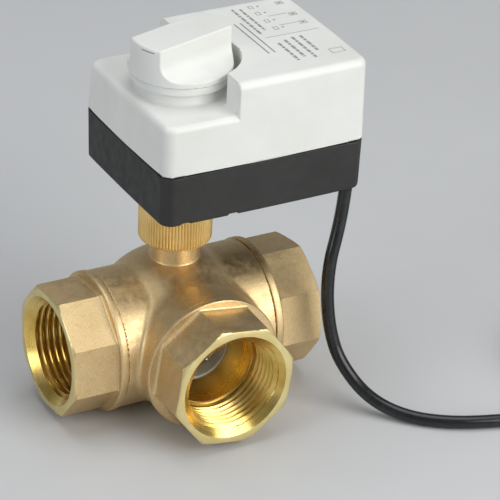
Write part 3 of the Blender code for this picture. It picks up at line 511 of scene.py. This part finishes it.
# ================================================================ mesh helpers
def mesh_piece(name, points, faces, materials, sharp, face_materials=None):
    """Object from points in millimetres and closed faces, turned so that they face outwards.

    Edges above the sharp angle, in degrees, stay crisp; 0 leaves all of them smooth.
    """
    points = np.asarray(points, float)
    mesh = bpy.data.meshes.new(name)
    faces = [tuple(face) for face in faces]
    firsts = np.array([face[0] for face in faces])
    volume = 0.0
    for k in range(1, max(len(face) for face in faces) - 1):
        rows = [i for i, face in enumerate(faces) if len(face) > k + 1]
        b = np.array([faces[i][k] for i in rows])
        c = np.array([faces[i][k + 1] for i in rows])
        a = firsts[rows]
        volume += float(np.sum(points[a] * np.cross(points[b], points[c])))
    if volume < 0:
        faces = [face[::-1] for face in faces]
    mesh.from_pydata((points * MM).tolist(), [], faces)
    for material in materials:
        mesh.materials.append(material)
    if face_materials is not None:
        mesh.polygons.foreach_set("material_index", np.asarray(face_materials, dtype=np.int32))
    mesh.shade_smooth()
    if sharp:
        mesh.set_sharp_from_angle(angle=math.radians(sharp))
    mesh.update()
    obj = bpy.data.objects.new(name, mesh)
    bpy.context.scene.collection.objects.link(obj)
    return obj


def aimed(direction, roll):
    """Rotation that takes +Z to a direction along X or Y, rolled about it first, in degrees."""
    quarter = {
        "-X": Matrix.Rotation(math.radians(-90), 3, "Y"),
        "+X": Matrix.Rotation(math.radians(90), 3, "Y"),
        "-Y": Matrix.Rotation(math.radians(90), 3, "X"),
    }[direction]
    return np.array(quarter @ Matrix.Rotation(math.radians(roll), 3, "Z"))


def ringed(name, rows, steps, materials, sharp, turn=None, offset=(0, 0, 0)):
    """Closed surface through rows of (radius, height, material) round an axis.

    A radius or a height is a number or an array with one value for each step round the axis.
    """
    angle = np.arange(steps) * 2 * math.pi / steps
    layers = []
    for radius, height, _ in rows:
        radius = np.broadcast_to(radius, steps)
        height = np.broadcast_to(height, steps)
        layers.append(np.stack([radius * np.cos(angle), radius * np.sin(angle), height], axis=1))
    points = np.concatenate(layers)
    if turn is not None:
        points = points @ turn.T
    points = points + np.array(offset, float)
    ring = np.arange(steps)
    following = (ring + 1) % steps
    faces = []
    face_materials = []
    for a in range(len(rows)):
        b = (a + 1) % len(rows)
        faces += np.stack([a * steps + ring, a * steps + following,
                           b * steps + following, b * steps + ring], axis=1).tolist()
        face_materials += [rows[b][2]] * steps
    return mesh_piece(name, points, faces, materials, sharp, face_materials)


def smooth_min(a, b, blend):
    overlap = np.maximum(blend - np.abs(a - b), 0.0) / blend
    return np.minimum(a, b) - overlap * overlap * blend / 4


def smooth_max(a, b, blend):
    return -smooth_min(-a, -b, blend)


def rounded_meet(a, b, radius):
    """Solid inside both fields, its edge rounded to the radius."""
    a = a + radius
    b = b + radius
    return np.minimum(np.maximum(a, b), 0.0) + np.hypot(np.maximum(a, 0.0), np.maximum(b, 0.0)) - radius


def net_surface(name, field, low, high, pitch, material):
    """Closed mesh of the zero surface of a signed field in millimetres, by surface nets."""
    axes = [np.arange(a - 1.5 * pitch, b + 2.5 * pitch, pitch) for a, b in zip(low, high)]
    grid = np.meshgrid(*axes, indexing="ij")
    values = field(*grid)
    inside = values < 0
    shape = np.array(values.shape)
    cell_sum = np.zeros(tuple(shape - 1) + (3,))
    cell_hits = np.zeros(tuple(shape - 1))
    cuts = []
    for axis in range(3):
        here = tuple(slice(0, -1) if k == axis else slice(None) for k in range(3))
        there = tuple(slice(1, None) if k == axis else slice(None) for k in range(3))
        crossing = inside[here] != inside[there]
        index = np.argwhere(crossing)
        first = values[here][crossing]
        second = values[there][crossing]
        share = first / (first - second)
        point = np.stack([axes[k][index[:, k]] for k in range(3)], axis=1)
        point[:, axis] += share * pitch
        others = [k for k in range(3) if k != axis]
        for du in (0, 1):
            for dv in (0, 1):
                cell = index.copy()
                cell[:, others[0]] -= du
                cell[:, others[1]] -= dv
                good = np.all((cell >= 0) & (cell < shape - 1), axis=1)
                np.add.at(cell_sum, tuple(cell[good].T), point[good])
                np.add.at(cell_hits, tuple(cell[good].T), 1)
        cuts.append((axis, others, index, inside[here][crossing]))
    used = cell_hits > 0
    number = np.full(tuple(shape - 1), -1)
    number[used] = np.arange(int(used.sum()))
    points = cell_sum[used] / cell_hits[used][:, None]
    faces = []
    for axis, others, index, first_inside in cuts:
        corners = []
        for du, dv in ((1, 1), (0, 1), (0, 0), (1, 0)):
            cell = index.copy()
            cell[:, others[0]] -= du
            cell[:, others[1]] -= dv
            corners.append(number[tuple(cell.T)])
        quad = np.stack(corners, axis=1)
        backwards = first_inside == (axis == 1)
        quad[backwards] = quad[backwards][:, ::-1]
        faces += quad.tolist()
    step = pitch * 0.05
    for _ in range(2):                         # pull the points onto the surface
        slope = field_slope(field, points, step)
        steepness = np.maximum(np.sum(slope ** 2, axis=1, keepdims=True), 0.25)
        move = -field(*points.T)[:, None] * slope / steepness
        points = points + np.clip(move, -pitch / 2, pitch / 2)
    obj = mesh_piece(name, points, faces, [material], sharp=0)
    normals = field_slope(field, points, pitch * 0.3)       # smooth shading from the field itself
    normals /= np.maximum(np.linalg.norm(normals, axis=1, keepdims=True), 1e-9)
    obj.data.normals_split_custom_set_from_vertices(normals.tolist())
    return obj


def field_slope(field, points, step):
    slope = []
    for axis in range(3):
        ahead = points.copy()
        behind = points.copy()
        ahead[:, axis] += step
        behind[:, axis] -= step
        slope.append((field(*ahead.T) - field(*behind.T)) / (2 * step))
    return np.stack(slope, axis=1)


# ================================================================ valve body
def body_field(x, y, z):
    """Round middle with three arms and a stem neck, bored through for the ball and the stem."""
    h = z - AXIS_Z
    across_run = np.hypot(y, h)
    across_branch = np.hypot(x, h)
    radius = np.hypot(x, y)
    solid = np.sqrt(x * x + y * y + h * h) - DOME_R
    solid = smooth_min(solid, np.maximum(across_run - BARREL_R, np.abs(x) - FACE), FILLET)
    solid = smooth_min(solid, np.maximum(across_branch - BARREL_R, np.maximum(-y - FACE, y)), FILLET + 1)
    foot = rounded_meet(radius - NECK_FOOT_R, z - NECK_TOP_Z + NECK_FOOT_DROP - 0.4, 0.5)
    foot = np.maximum(foot, SHOULDER_Z - z)
    neck = np.maximum(radius - NECK_R, np.maximum(z - NECK_TOP_Z, SHOULDER_Z - z))
    lip_under = NECK_TOP_Z - NECK_LIP_H - z
    flange = np.maximum(radius - NECK_R - NECK_LIP, np.maximum(z - NECK_TOP_Z, lip_under))
    solid = smooth_min(solid, foot, 0.8)
    solid = smooth_min(solid, neck, 0.5)
    solid = np.minimum(solid, flange)
    solid = np.maximum(solid, np.maximum(np.abs(x) - FACE, -y - FACE))
    solid = np.maximum(solid, -z)
    run_way = np.maximum(across_run - CHAMBER_R, np.abs(x) - FACE + 2)
    branch_way = np.maximum(across_branch - CHAMBER_R, np.maximum(y + 1, -y - FACE + 2))
    run_socket = np.maximum(across_run - SOCKET_R - np.maximum(np.abs(x) - FACE + SOCKET_CHAMFER, 0),
                            FACE - SOCKET_DEPTH - np.abs(x))
    branch_socket = np.maximum(across_branch - SOCKET_R - np.maximum(-y - FACE + SOCKET_CHAMFER, 0),
                               FACE - SOCKET_DEPTH + y)
    rear_pocket = np.maximum(across_branch - REAR_POCKET_R, np.maximum(y - REAR_POCKET_END, 3 - y))
    stem_way = np.maximum(radius - STEM_WAY_R, GLAND_Z0 - z)
    gland = np.maximum(radius - GLAND_R, np.maximum(GLAND_Z0 - z, z - GLAND_Z1))
    for way in (run_way, branch_way, run_socket, branch_socket, rear_pocket, stem_way, gland):
        solid = np.maximum(solid, -way)
    return solid


def make_body(mats):
    body = net_surface("body_casting", body_field, BODY_LOW, BODY_HIGH, 0.62, mats["cast"])
    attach(body, "valve")
    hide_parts("valve_body")


# ================================================================ screwed end connectors
def octagon_radius(steps):
    angle = np.degrees(np.arange(steps) * 2 * math.pi / steps)
    from_flat = (angle + 22.5) % 45 - 22.5
    return FLATS / 2 / np.cos(np.radians(from_flat))


def connector_rows(steps):
    """Rows of a connector for ringed(): spigot, flange, octagon, end face, thread and bore."""
    octagon = octagon_radius(steps)
    rows = spigot_rows() + octagon_rows(octagon)
    face_width = FLATS / 2 - 1.2 - MOUTH_R
    rows += [(MOUTH_R + share * face_width, CONNECTOR_L, FACED) for share in (0.66, 0.33, 0.0)]
    thread_foot = CONNECTOR_L - 1.7 - THREAD_TURNS * PITCH
    rows += thread_rows(np.arange(steps) / steps, thread_foot)
    foot = thread_foot - 1.4
    rows += [(THREAD_CREST_R, thread_foot - 0.3, TURNED), (THREAD_CREST_R, thread_foot - 1.0, TURNED)]
    rows += [(THREAD_CREST_R - 0.25, thread_foot - 1.25, TURNED), (THREAD_FOOT_R, foot, TURNED)]
    for share in (0.2, 0.4, 0.6, 0.8, 0.95):
        radius = THREAD_FOOT_R + (BORE_R - THREAD_FOOT_R) * share
        rows.append((radius, foot + (-SPIGOT_L - foot) * share, TURNED))
    return rows


def spigot_rows():
    """From the bore at the spigot's end, over the O-ring groove to the joint face."""
    groove = -SPIGOT_L / 2
    groove_r = SPIGOT_R - GROOVE_DEPTH
    return [(BORE_R, -SPIGOT_L, TURNED), (SPIGOT_R - 0.5, -SPIGOT_L, TURNED),
            (SPIGOT_R, -SPIGOT_L + 0.5, TURNED), (SPIGOT_R, groove - GROOVE_HALF, TURNED),
            (groove_r, groove - GROOVE_HALF, TURNED), (groove_r, groove + GROOVE_HALF, TURNED),
            (SPIGOT_R, groove + GROOVE_HALF, TURNED), (SPIGOT_R, -JOINT_SINK, TURNED),
            (FLANGE_R - 0.4, -JOINT_SINK, TURNED)]


def octagon_rows(octagon):
    """Flange ring, the octagon above it and its turned cone, up to the rim of the end face."""
    rows = [(FLANGE_R - 0.1, 0.1 - JOINT_SINK, CAST), (FLANGE_R, 0.4 - JOINT_SINK, CAST)]
    rows += [(FLANGE_R, FLANGE_W - 0.7, CAST), (FLANGE_R - 0.12, FLANGE_W - 0.3, CAST)]
    rows += [(FLANGE_R - 0.45, FLANGE_W, CAST)]
    for rise, spread in ((0.0, 0.8), (0.15, 0.4), (0.4, 0.15), (0.8, 0.0)):
        rows.append((np.minimum(octagon + spread, FLANGE_R - 0.5), FLANGE_W + rise, CAST))
    cone_foot = CONNECTOR_L - END_CHAMFER
    heights = list(np.linspace(FLANGE_W + 1.6, cone_foot, 12))
    heights += list(np.linspace(cone_foot + 0.2, CONNECTOR_L - 0.35, 10))
    for height in heights:
        cone = FLANGE_R + 1 - (height - cone_foot) * END_CONE_SLOPE
        rows.append((smooth_min(octagon, cone, 0.4), height, CAST))
    rim = smooth_min(octagon, FACE_CORNER_R, 0.4)
    for inset, depth in ((0.0, 0.22), (0.14, 0.07), (0.35, 0.0)):
        rows.append((rim - inset, CONNECTOR_L - depth, FACED))
    return rows


def thread_rows(turn_share, thread_foot):
    """Helical pipe thread behind its lead-in cone, from the end face inwards."""
    rows = []
    count = int((CONNECTOR_L - 0.12 - thread_foot) / PITCH * THREAD_SLICES)
    for k in range(count + 1):
        height = CONNECTOR_L - 0.12 - k * PITCH / THREAD_SLICES
        wave = np.abs(((height / PITCH - turn_share) % 1.0) * 2 - 1)
        wave = np.clip(wave * 1.25 - 0.125, 0.0, 1.0)
        runout = min(max((height - thread_foot) / (PITCH * 0.7), 0.0), 1.0)
        thread = THREAD_CREST_R + (THREAD_ROOT_R - THREAD_CREST_R) * wave * runout
        lead_in = MOUTH_R - (CONNECTOR_L - height) * 1.15
        rows.append((np.maximum(thread, lead_in), height, TURNED))
    return rows


def make_connectors(mats):
    steps = 320
    rows = connector_rows(steps)
    placements = {"left": ("-X", (-JOINT, 0), "X"), "right": ("+X", (JOINT, 0), "X"),
                  "front": ("-Y", (0, -JOINT), "Y")}
    for side, (direction, (x, y), axis) in placements.items():
        connector = ringed("end_fitting_" + side, rows, steps,
                           [mats["cast"], mats["turned_" + axis], mats["faced"]], sharp=28,
                           turn=aimed(direction, OCTAGON_TURN[side]), offset=(x, y, AXIS_Z))
        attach(connector, "valve")
        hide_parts("end_connector_" + side)


# ================================================================ coupling nut
def make_nut(mats):
    steps = NUT_RIBS * 8
    z0, z1 = NUT_LOW[2], NUT_HIGH[2]
    outer = NUT_HIGH[0]
    phase = np.arange(steps) / steps * NUT_RIBS
    rib = np.abs(np.cos(np.pi * phase)) ** 0.7
    ribs = outer - NUT_RIB_DEPTH * (1 - rib)
    bore = NECK_R + 0.3
    end_r = outer - NUT_END_STEP
    taper = [(height, np.minimum(ribs, end_r + 0.2 + (NUT_END_STEP - 0.2) * share))
             for height, share in ((0.12, 0.55), (0.4, 0.8), (0.8, 0.95), (1.2, 1.0))]
    rows = [(bore, z0 + 0.3, 0), (bore + 0.3, z0, 0), (end_r, z0, 0)]
    rows += [(radius, z0 + height, 0) for height, radius in taper]
    rows += [(ribs, height, 0) for height in np.linspace(z0 + 1.6, z1 - 1.6, 10)]
    rows += [(radius, z1 - height, 0) for height, radius in reversed(taper)]
    rows += [(end_r, z1, 0), (NUT_CHEST_R + 0.2, z1, 0), (NUT_CHEST_R, z1 - 0.2, 0),
             (NUT_CHEST_R, z0 + 2.6, 0), (bore, z0 + 2.6, 0)]
    nut = ringed("ribbed_nut", rows, steps, [mats["nut"]], sharp=40)
    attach(nut, "union_nut")
    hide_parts("coupling_nut")


# ================================================================ actuator case
def case_plan(x, y, inset, lean=0.0):
    """Signed distance in plan from the bowed wall of the case; the lean moves the back wall in."""
    half_x = (CASE_X1 - CASE_X0) / 2
    half_y = (CASE_Y1 - CASE_Y0 - lean) / 2
    u = x - (CASE_X1 + CASE_X0) / 2
    v = y - (CASE_Y1 + CASE_Y0 - lean) / 2
    bow_x = CASE_BOW * np.clip(1 - (v / half_y) ** 2, 0, 1)
    bow_y = CASE_BOW * np.clip(1 - (u / half_x) ** 2, 0, 1)
    a = np.abs(u) - half_x - bow_x + CASE_CORNER + inset
    b = np.abs(v) - half_y - bow_y + CASE_CORNER + inset
    return np.minimum(np.maximum(a, b), 0) + np.hypot(np.maximum(a, 0), np.maximum(b, 0)) - CASE_CORNER


def cover_field(x, y, z):
    """Hollow cover: low deck with a boss, raised deck cut back by the knob's round bay."""
    share = np.clip((z - PART_Z) / (TOP_Z - PART_Z), 0, 1)
    plan = case_plan(x, y, DRAFT * share, BACK_LEAN * share)
    radius = np.hypot(x, y)
    bay = smooth_max(STEP_X - x, BAY_R - radius, 0.8)
    blend = 0.6
    top = z - TOP_Z - blend / 4                # the blend below takes the quarter off again
    high = smooth_max(rounded_meet(plan, top, TOP_EDGE_R), rounded_meet(bay, top, BAY_EDGE_R), blend)
    low = rounded_meet(plan, z - DECK_Z, DECK_EDGE_R)
    inner_fillet = np.maximum(plan + 2.2, smooth_min(z - DECK_Z, np.maximum(bay, z - TOP_Z), 1.2))
    solid = np.minimum(np.minimum(high, low), inner_fillet)
    roof = np.minimum(z - DECK_Z, np.maximum(bay, z - TOP_Z))
    solid = np.maximum(solid, -np.maximum(plan + WALL, roof + WALL))
    cone = radius - KNOB_BOSS_R + 1.2 * np.clip((z - DECK_Z) / KNOB_BOSS_H, 0, 1)
    boss = rounded_meet(cone, z - DECK_Z - KNOB_BOSS_H, 0.4)
    boss = np.maximum(boss, DECK_Z - 1 - z)
    solid = np.minimum(solid, smooth_min(np.maximum(solid, z - DECK_Z - 4), boss, 0.6))
    for px, py in SCREWS:
        from_screw = np.hypot(x - px, y - py)
        top = (TOP_Z if px > STEP_X else DECK_Z) - 1
        solid = np.minimum(solid, np.maximum(from_screw - BOSS_R, np.maximum(PART_Z + 0.6 - z, z - top)))
        solid = np.maximum(solid, -np.maximum(from_screw - SCREW_WAY_R, z - PART_Z - 8))
    solid = np.maximum(solid, -np.maximum(radius - SHAFT_R - 0.6, DECK_Z - 5 - z))
    return np.maximum(solid, PART_Z - z)


def base_field(x, y, z):
    """Open tray with screw posts and ways for the cable and the mounting spigot."""
    share = np.clip((z - BASE_Z0) / (PART_Z - BASE_Z0), 0, 1)
    plan = case_plan(x, y, DRAFT * (1 - share))
    solid = rounded_meet(plan, BASE_Z0 - z, 0.8)
    floor_top = BASE_Z0 + FLOOR_T
    solid = np.maximum(solid, -np.maximum(plan + WALL, floor_top - z))
    solid = np.maximum(solid, z - BASE_HIGH[2])
    for px, py in SCREWS:
        from_screw = np.hypot(x - px, y - py)
        boss = np.maximum(from_screw - BOSS_R, np.maximum(BASE_Z0 + 1 - z, z - PART_Z + 1))
        solid = np.minimum(solid, boss)
        solid = np.maximum(solid, -(from_screw - SCREW_WAY_R))
        solid = np.maximum(solid, -np.maximum(from_screw - SCREW_HEAD_WAY_R, z - floor_top))
    cable = np.hypot(x - CABLE_ROUTE[0][0], y - CABLE_ROUTE[0][1])
    solid = np.maximum(solid, -(cable - CABLE_WAY_R))
    solid = np.maximum(solid, -np.maximum(cable - CABLE_WAY_R - 0.5, BASE_Z0 + 2.3 - z))
    solid = np.maximum(solid, -np.maximum(np.hypot(x, y) - SPIGOT_WAY_R, z - BASE_Z0 - 6))
    for notch_x in NOTCHES_X:
        notch = np.maximum(np.abs(x - notch_x) - 1.6, z - BASE_Z0 - 0.7)
        solid = np.maximum(solid, -np.maximum(notch, y - CASE_Y0 - 1.4))
    return solid


def knob_field(x, y, z):
    """Disc with two hollows that leave a straight grip across it."""
    c, s = math.cos(KNOB_ANGLE), math.sin(KNOB_ANGLE)
    v = y * c - x * s
    radius = np.hypot(x, y)
    z0, z1 = KNOB_LOW[2], KNOB_HIGH[2]
    solid = rounded_meet(radius - KNOB_R, z - z1, 0.7)
    solid = np.maximum(solid, z0 - z)
    scoop = rounded_meet(GRIP_HALF - np.abs(v), z0 + KNOB_RIM - z, GRIP_FILLET)
    solid = smooth_max(solid, -scoop, 0.4)
    socket = np.maximum(radius - SHAFT_R - 0.3, z - z0 - KNOB_SOCKET_H)
    return np.maximum(solid, -socket)


def make_collar(mats):
    r1, z0, z1 = COLLAR_HIGH[0], COLLAR_LOW[2], COLLAR_HIGH[2]
    bore = SHAFT_R + 0.3
    rows = [(bore, z0, 0), (r1 - 0.5, z0, 0), (r1 - 0.15, z0 + 0.15, 0), (r1, z0 + 0.5, 0),
            (r1, z1 - 0.4, 0), (r1 - 0.3, z1, 0), (bore, z1, 0)]
    return ringed("knob_skirt", rows, 128, [mats["case_white"]], sharp=40)


def make_case(mats):
    cover = net_surface("cover_shell", cover_field, COVER_LOW, COVER_HIGH, 0.6, mats["case_white"])
    base = net_surface("base_shell", base_field, BASE_LOW, BASE_HIGH, 0.62, mats["case_black"])
    knob = net_surface("selector_knob", knob_field, KNOB_LOW, KNOB_HIGH, 0.42, mats["case_white"])
    collar = make_collar(mats)
    for piece, node, body, key in ((cover, "actuator_cover", "valve", "white_plastic"),
                                   (base, "base_housing", "valve", "black_plastic"),
                                   (knob, "manual_knob", "output", "white_plastic"),
                                   (collar, "knob_collar", "output", "white_plastic")):
        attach(piece, body)
        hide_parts(node)


# ================================================================ printed marks, and the painted shade of the knob's notch
def print_marks():
    """Generic graphic of plain rules, boxes and dashes, no lettering: x0, y0, x1, y1 of each bar."""
    marks = []

    def bar(x0, y0, x1, y1):
        marks.append((min(x0, x1), min(y0, y1), max(x0, x1), max(y0, y1)))

    def frame_box(x, y, w, h, line=0.2):
        bar(x - w / 2, y - h / 2, x - w / 2 + line, y + h / 2)
        bar(x + w / 2 - line, y - h / 2, x + w / 2, y + h / 2)
        bar(x - w / 2, y - h / 2, x + w / 2, y - h / 2 + line)
        bar(x - w / 2, y + h / 2 - line, x + w / 2, y + h / 2)

    def dashes(x, y0, y1, height, pattern):
        y = y0
        k = 0
        while y > y1:
            length = pattern[k % len(pattern)]
            bar(x, y, x + height, max(y - length, y1))
            y -= length + 0.55
            k += 1

    bar(30.8, 0.0, 50.4, 0.2)
    for x, y0, y1 in ((30.4, 23.6, 3.0), (33.0, 22.8, 5.4)):
        dashes(x, y0, y1, 0.9, (1.6, 2.4, 1.1, 3.0))
    for x, y0, y1 in ((32.2, -5.0, -18.6), (35.2, -3.6, -17.0), (38.4, -2.6, -18.8), (41.4, -2.6, -14.4)):
        dashes(x, y0, y1, 1.0, (2.2, 1.2, 2.8, 1.7))
    for y in (22.6, 13.2, 6.4):
        frame_box(48.0, y, 2.6, 2.2)
        bar(47.4, y - 0.5, 48.6, y + 0.5)
    for y in (14.4, 6.9):
        bar(39.6, y, 46.4, y + 0.24)
    for y in (22.8, 17.6, 11.4, 5.4):
        frame_box(37.4, y, 1.6, 2.2)
        bar(39.6, y - 0.4, 40.3, y + 0.4)
    frame_box(47.6, -16.8, 4.8, 3.2)
    for x in (26.0, 28.2):
        bar(x, -10.6, x + 0.5, 13.2)
    return marks


def make_print(mats):
    """The marks as thin bars of ink that stand on the raised deck."""
    z = TOP_Z + 0.02
    points = []
    faces = []
    for x0, y0, x1, y1 in print_marks():
        base = len(points)
        for height in (z, z + 0.03):
            points += [(x0, y0, height), (x1, y0, height), (x1, y1, height), (x0, y1, height)]
        faces += [(base + 3, base + 2, base + 1, base), (base + 4, base + 5, base + 6, base + 7)]
        faces += [(base + k, base + (k + 1) % 4, base + 4 + (k + 1) % 4, base + 4 + k) for k in range(4)]
    label = mesh_piece("deck_print", points, faces, [mats["print"]], sharp=30)
    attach(label, "valve")


def make_knob_notch_shade(mats):
    """Painted shade: a short dark strip under the top edge of the knob's grip, put where the knob's small
    pointer notch holds shade; the notch itself is not cut.
    """
    z1 = KNOB_HIGH[2]
    radius = KNOB_R + 0.03
    steps = 10
    start, end = POINTER_SPAN
    points = []
    for inner in (0.0, 0.25):
        for height in (z1 - 1.35, z1 - 0.95):
            for k in range(steps + 1):
                angle = start + (end - start) * k / steps
                reach = radius - inner
                points.append((reach * math.cos(angle), reach * math.sin(angle), height))
    n = steps + 1
    faces = []
    for k in range(steps):
        a, b, c, d = k, n + k, 2 * n + k, 3 * n + k
        faces += [(a, a + 1, b + 1, b), (d, d + 1, c + 1, c), (b, b + 1, d + 1, d), (c, c + 1, a + 1, a)]
    faces += [(0, n, 3 * n, 2 * n), (n - 1, 3 * n - 1, 4 * n - 1, 2 * n - 1)]
    # painted shade of the knob's pointer notch: a dark strip in the grey print colour
    notch_shade = mesh_piece("knob_notch_shade", points, faces, [mats["print"]], sharp=30)
    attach(notch_shade, "output")


# ================================================================ carried-over CAD nodes
SLOT_MATERIALS = {
    "cast_brass": "cast", "machined_brass": "nut", "chromed_brass": "chrome", "steel": "steel",
    "ptfe": "ptfe", "seal_rubber": "rubber", "white_plastic": "case_white",
    "black_plastic": "case_black", "gear_plastic": "gear", "board_green": "board",
    "component_blue": "blue", "cable_black": "cable_sheath", "wire_brown": "wire_brown",
    "wire_blue": "wire_blue", "wire_yellow": "wire_yellow",
}


def dress_nodes(mats):
    for name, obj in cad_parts.items():
        for slot in obj.material_slots:
            key = slot.material.name.split(".")[0]
            slot.material = mats[SLOT_MATERIALS[key]]


# ================================================================ stage
def make_stage():
    """Pale floor that bends up into a wall behind the valve; lengths here are in metres."""
    n = Nodes("pale_floor")
    colour = n.ramp(n.noise(3, 3), ((0.3, (0.57, 0.58, 0.59)), (0.7, (0.60, 0.61, 0.62))))
    floor_material = n.finish(colour, n.ramp(n.noise(60, 3), ((0.3, 0.42), (0.7, 0.55))))
    mesh = bpy.data.meshes.new("floor")
    half_width, wall_y, wall_top = 3.0, 1.5, 2.5
    bend_r, bend_steps = 0.5, 16
    profile = [(-half_width, 0)]
    for k in range(bend_steps + 1):
        angle = math.pi / 2 * k / bend_steps
        profile.append((wall_y - bend_r + bend_r * math.sin(angle), bend_r - bend_r * math.cos(angle)))
    profile.append((wall_y, wall_top))
    points = []
    for y, z in profile:
        points += [(-half_width, y, z), (half_width, y, z)]
    faces = [(2 * k, 2 * k + 1, 2 * k + 3, 2 * k + 2) for k in range(len(points) // 2 - 1)]
    mesh.from_pydata(points, [], faces)
    mesh.materials.append(floor_material)
    mesh.shade_smooth()
    floor = bpy.data.objects.new("floor", mesh)
    bpy.context.scene.collection.objects.link(floor)


def add_area(name, location, target, size, power, colour):
    data = bpy.data.lights.new(name, "AREA")
    data.shape = "RECTANGLE"
    data.size, data.size_y = size
    data.energy = power
    data.color = colour
    light = bpy.data.objects.new(name, data)
    light.location = location
    light.rotation_euler = (Vector(target) - Vector(location)).to_track_quat("-Z", "Y").to_euler()
    bpy.context.scene.collection.objects.link(light)


def make_lights():
    world = bpy.data.worlds.new("studio")
    world.use_nodes = True
    background = world.node_tree.nodes["Background"]
    background.inputs["Color"].default_value = (0.90, 0.94, 1.0, 1.0)
    background.inputs["Strength"].default_value = 0.24
    bpy.context.scene.world = world
    middle = (0.01, 0.0, 0.06)
    add_area("top_soft_box", (0.05, 0.1, 1.1), middle, (0.9, 0.9), 5.2, (1.0, 1.0, 1.0))
    add_area("key_soft_box", (0.56, -1.00, 0.62), middle, (1.1, 0.95), 13.0, (1.0, 0.99, 0.96))
    add_area("left_soft_box", (-1.1, -0.2, 0.5), middle, (0.5, 0.8), 3.6, (0.96, 0.98, 1.0))
    bpy.context.scene.view_settings.view_transform = "Standard"


make_camera()
materials = make_materials()
make_cable(materials)
make_body(materials)
make_connectors(materials)
make_nut(materials)
make_case(materials)
make_print(materials)
# painted shade of the knob's pointer notch
make_knob_notch_shade(materials)
dress_nodes(materials)
make_stage()
make_lights()
